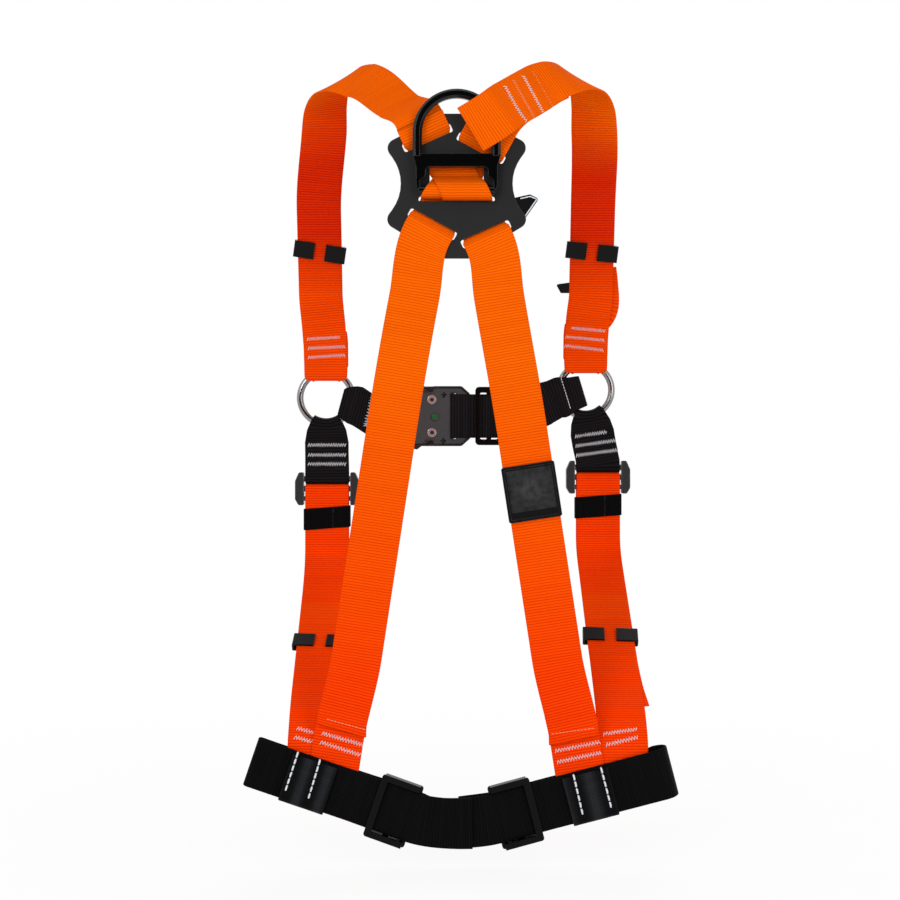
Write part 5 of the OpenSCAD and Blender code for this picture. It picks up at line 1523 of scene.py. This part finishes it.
def walk(corners, steps=4):
    """Points along a chain of corners, with some on each side, so that a tube keeps its thickness."""
    corners = [np.array(c, float) for c in corners]
    inner = [mix(a, b, k / steps) for a, b in zip(corners, corners[1:]) for k in range(steps)]
    return inner + [corners[-1]]


print("a circle has", len(circle(X, 1)), "corners")

# %% [markdown]
# The buckle has hollow rivets, a bead along the edge of its plate and two raised arrows that show where the
# levers are pressed. Each hollow is a dark disc and each arrow is near-black: painted shade, standing in for
# the shade in a recess. They could be cut into the CAD solids, but they are finer than what a solid needs
# to show.

# %% Buckle marks
RIVET = vec(-4.6, -1.05, 17)
RIVET_HOLLOW, HOLLOW_T, ARROW_T = 1.9, 0.3, 0.4
ARROW = [(0, 3.4), (3.4, -0.4), (1.1, -0.4), (1.1, -2.8), (-1.1, -2.8), (-1.1, -0.4), (-3.4, -0.4)]
# For each lever: its name, the way it points, and the place of its arrow on the plate.
LEVERS = (("upper", 1, vec(7.6, -0.3, 21.8)), ("lower", -1, vec(7.0, -0.3, -25.5)))
# The bead stops where the levers come through the edge.
BEAD_R = 1.0
RIM_RIGHT = [(-4, -29.5), (25.4, -29.5), (33.5, -22.3), (33.5, 22.3), (25.4, 29.5), (-4, 29.5)]
RIM_LEFT = [(-11.5, -29.5), (-23.3, -29.5), (-31.5, -19.5), (-31.5, 19.5), (-23.3, 29.5), (-11.5, 29.5)]

for label, way, place in LEVERS:
    rivet = BUCKLE + RIVET * vec(1, 1, way)
    # A dark disc on each rivet: painted shade for its hollow.
    flat_piece(label + "_rivet_hollow_shade", circle(rivet, RIVET_HOLLOW), HOLLOW_T, hard["clip_plastic"])
    arrow = [BUCKLE + place + vec(x, 0, z * way) for x, z in ARROW]
    # The arrow's near-black is painted shade for a recessed mark.
    flat_piece(label + "_press_mark", arrow, ARROW_T, hard["forged_black"])
beads = [[(BUCKLE + vec(x, -0.1, z), NEAR) for x, z in walk(rim)] for rim in (RIM_RIGHT, RIM_LEFT)]
thread("buckle_rim", beads, BEAD_R, hard["forged_black"])
print("buckle marks:", 2 * len(LEVERS), "and", len(beads), "beads")

# %% [markdown]
# The patch hangs on the right back strap and leans with it, so its panel is placed along that strap. The
# tag is flat on the dorsal plate, and the keepers' seams follow their bands. All three could be left plain,
# but small edges like these give the eye a scale.

# %% Patch, tag and keeper marks
PATCH_SHARE, PATCH_T, PANEL_LIFT, PANEL_T = 0.3, 1.4, 0.35, 0.3
PANEL_HALF, PANEL_LOW, PANEL_TOP = 20.4, -16.5, 21.2
TAG_EDGE = [(57, -11), (66, -8.9), (72.2, -11.3), (60.2, -28.6), (54, -26)]
SEAM_X, SEAM_Z, SEAM_HALF, SEAM_WAVE = 6.5, -30.5, 10.5, 0.25
TAG_EDGE_R, KEEPER_SEAM_R = 0.55, 0.4

(low_x, low_z), (high_x, high_z) = BACK_LONG
patch_lean = math.atan2(low_x - high_x, high_z - low_z)
patch_right = vec(math.cos(patch_lean), 0, math.sin(patch_lean))
patch_up = vec(-math.sin(patch_lean), 0, math.cos(patch_lean))
patch_middle = mix(vec(high_x, BACK_Y, high_z), vec(low_x, BACK_Y, low_z), PATCH_SHARE)
patch_middle += vec(0, -THICK / 2 - LAY - PATCH_T - PANEL_LIFT, 0)
panel = [(-PANEL_HALF, PANEL_LOW), (PANEL_HALF, PANEL_LOW), (PANEL_HALF, PANEL_TOP), (-PANEL_HALF, PANEL_TOP)]
flat_piece("patch_panel", [patch_middle + patch_right * x + patch_up * z for x, z in panel], PANEL_T,
           hard["patch_face"])

tag_path = [(on_plate(x, z, PLATE_T + 0.1), NEAR) for x, z in walk(TAG_EDGE)]
thread("tag_edge_thread", [tag_path], TAG_EDGE_R, white_thread)

for side, name in SIDES:
    place = ADJUSTER[side] + vec(SEAM_X, -BAR_WRAP - THICK / 2 - LAY - KEEPER_T, SEAM_Z)
    path = [(place + vec(SEAM_WAVE * math.sin(z), -0.1, z + KEEPER_LEAN * SEAM_X), NEAR)
            for z in np.linspace(-SEAM_HALF, SEAM_HALF, 17)]
    thread(name + "_keeper_seam", [path], KEEPER_SEAM_R, hard["black_rubber"], name + "_keeper")

# %% [markdown]
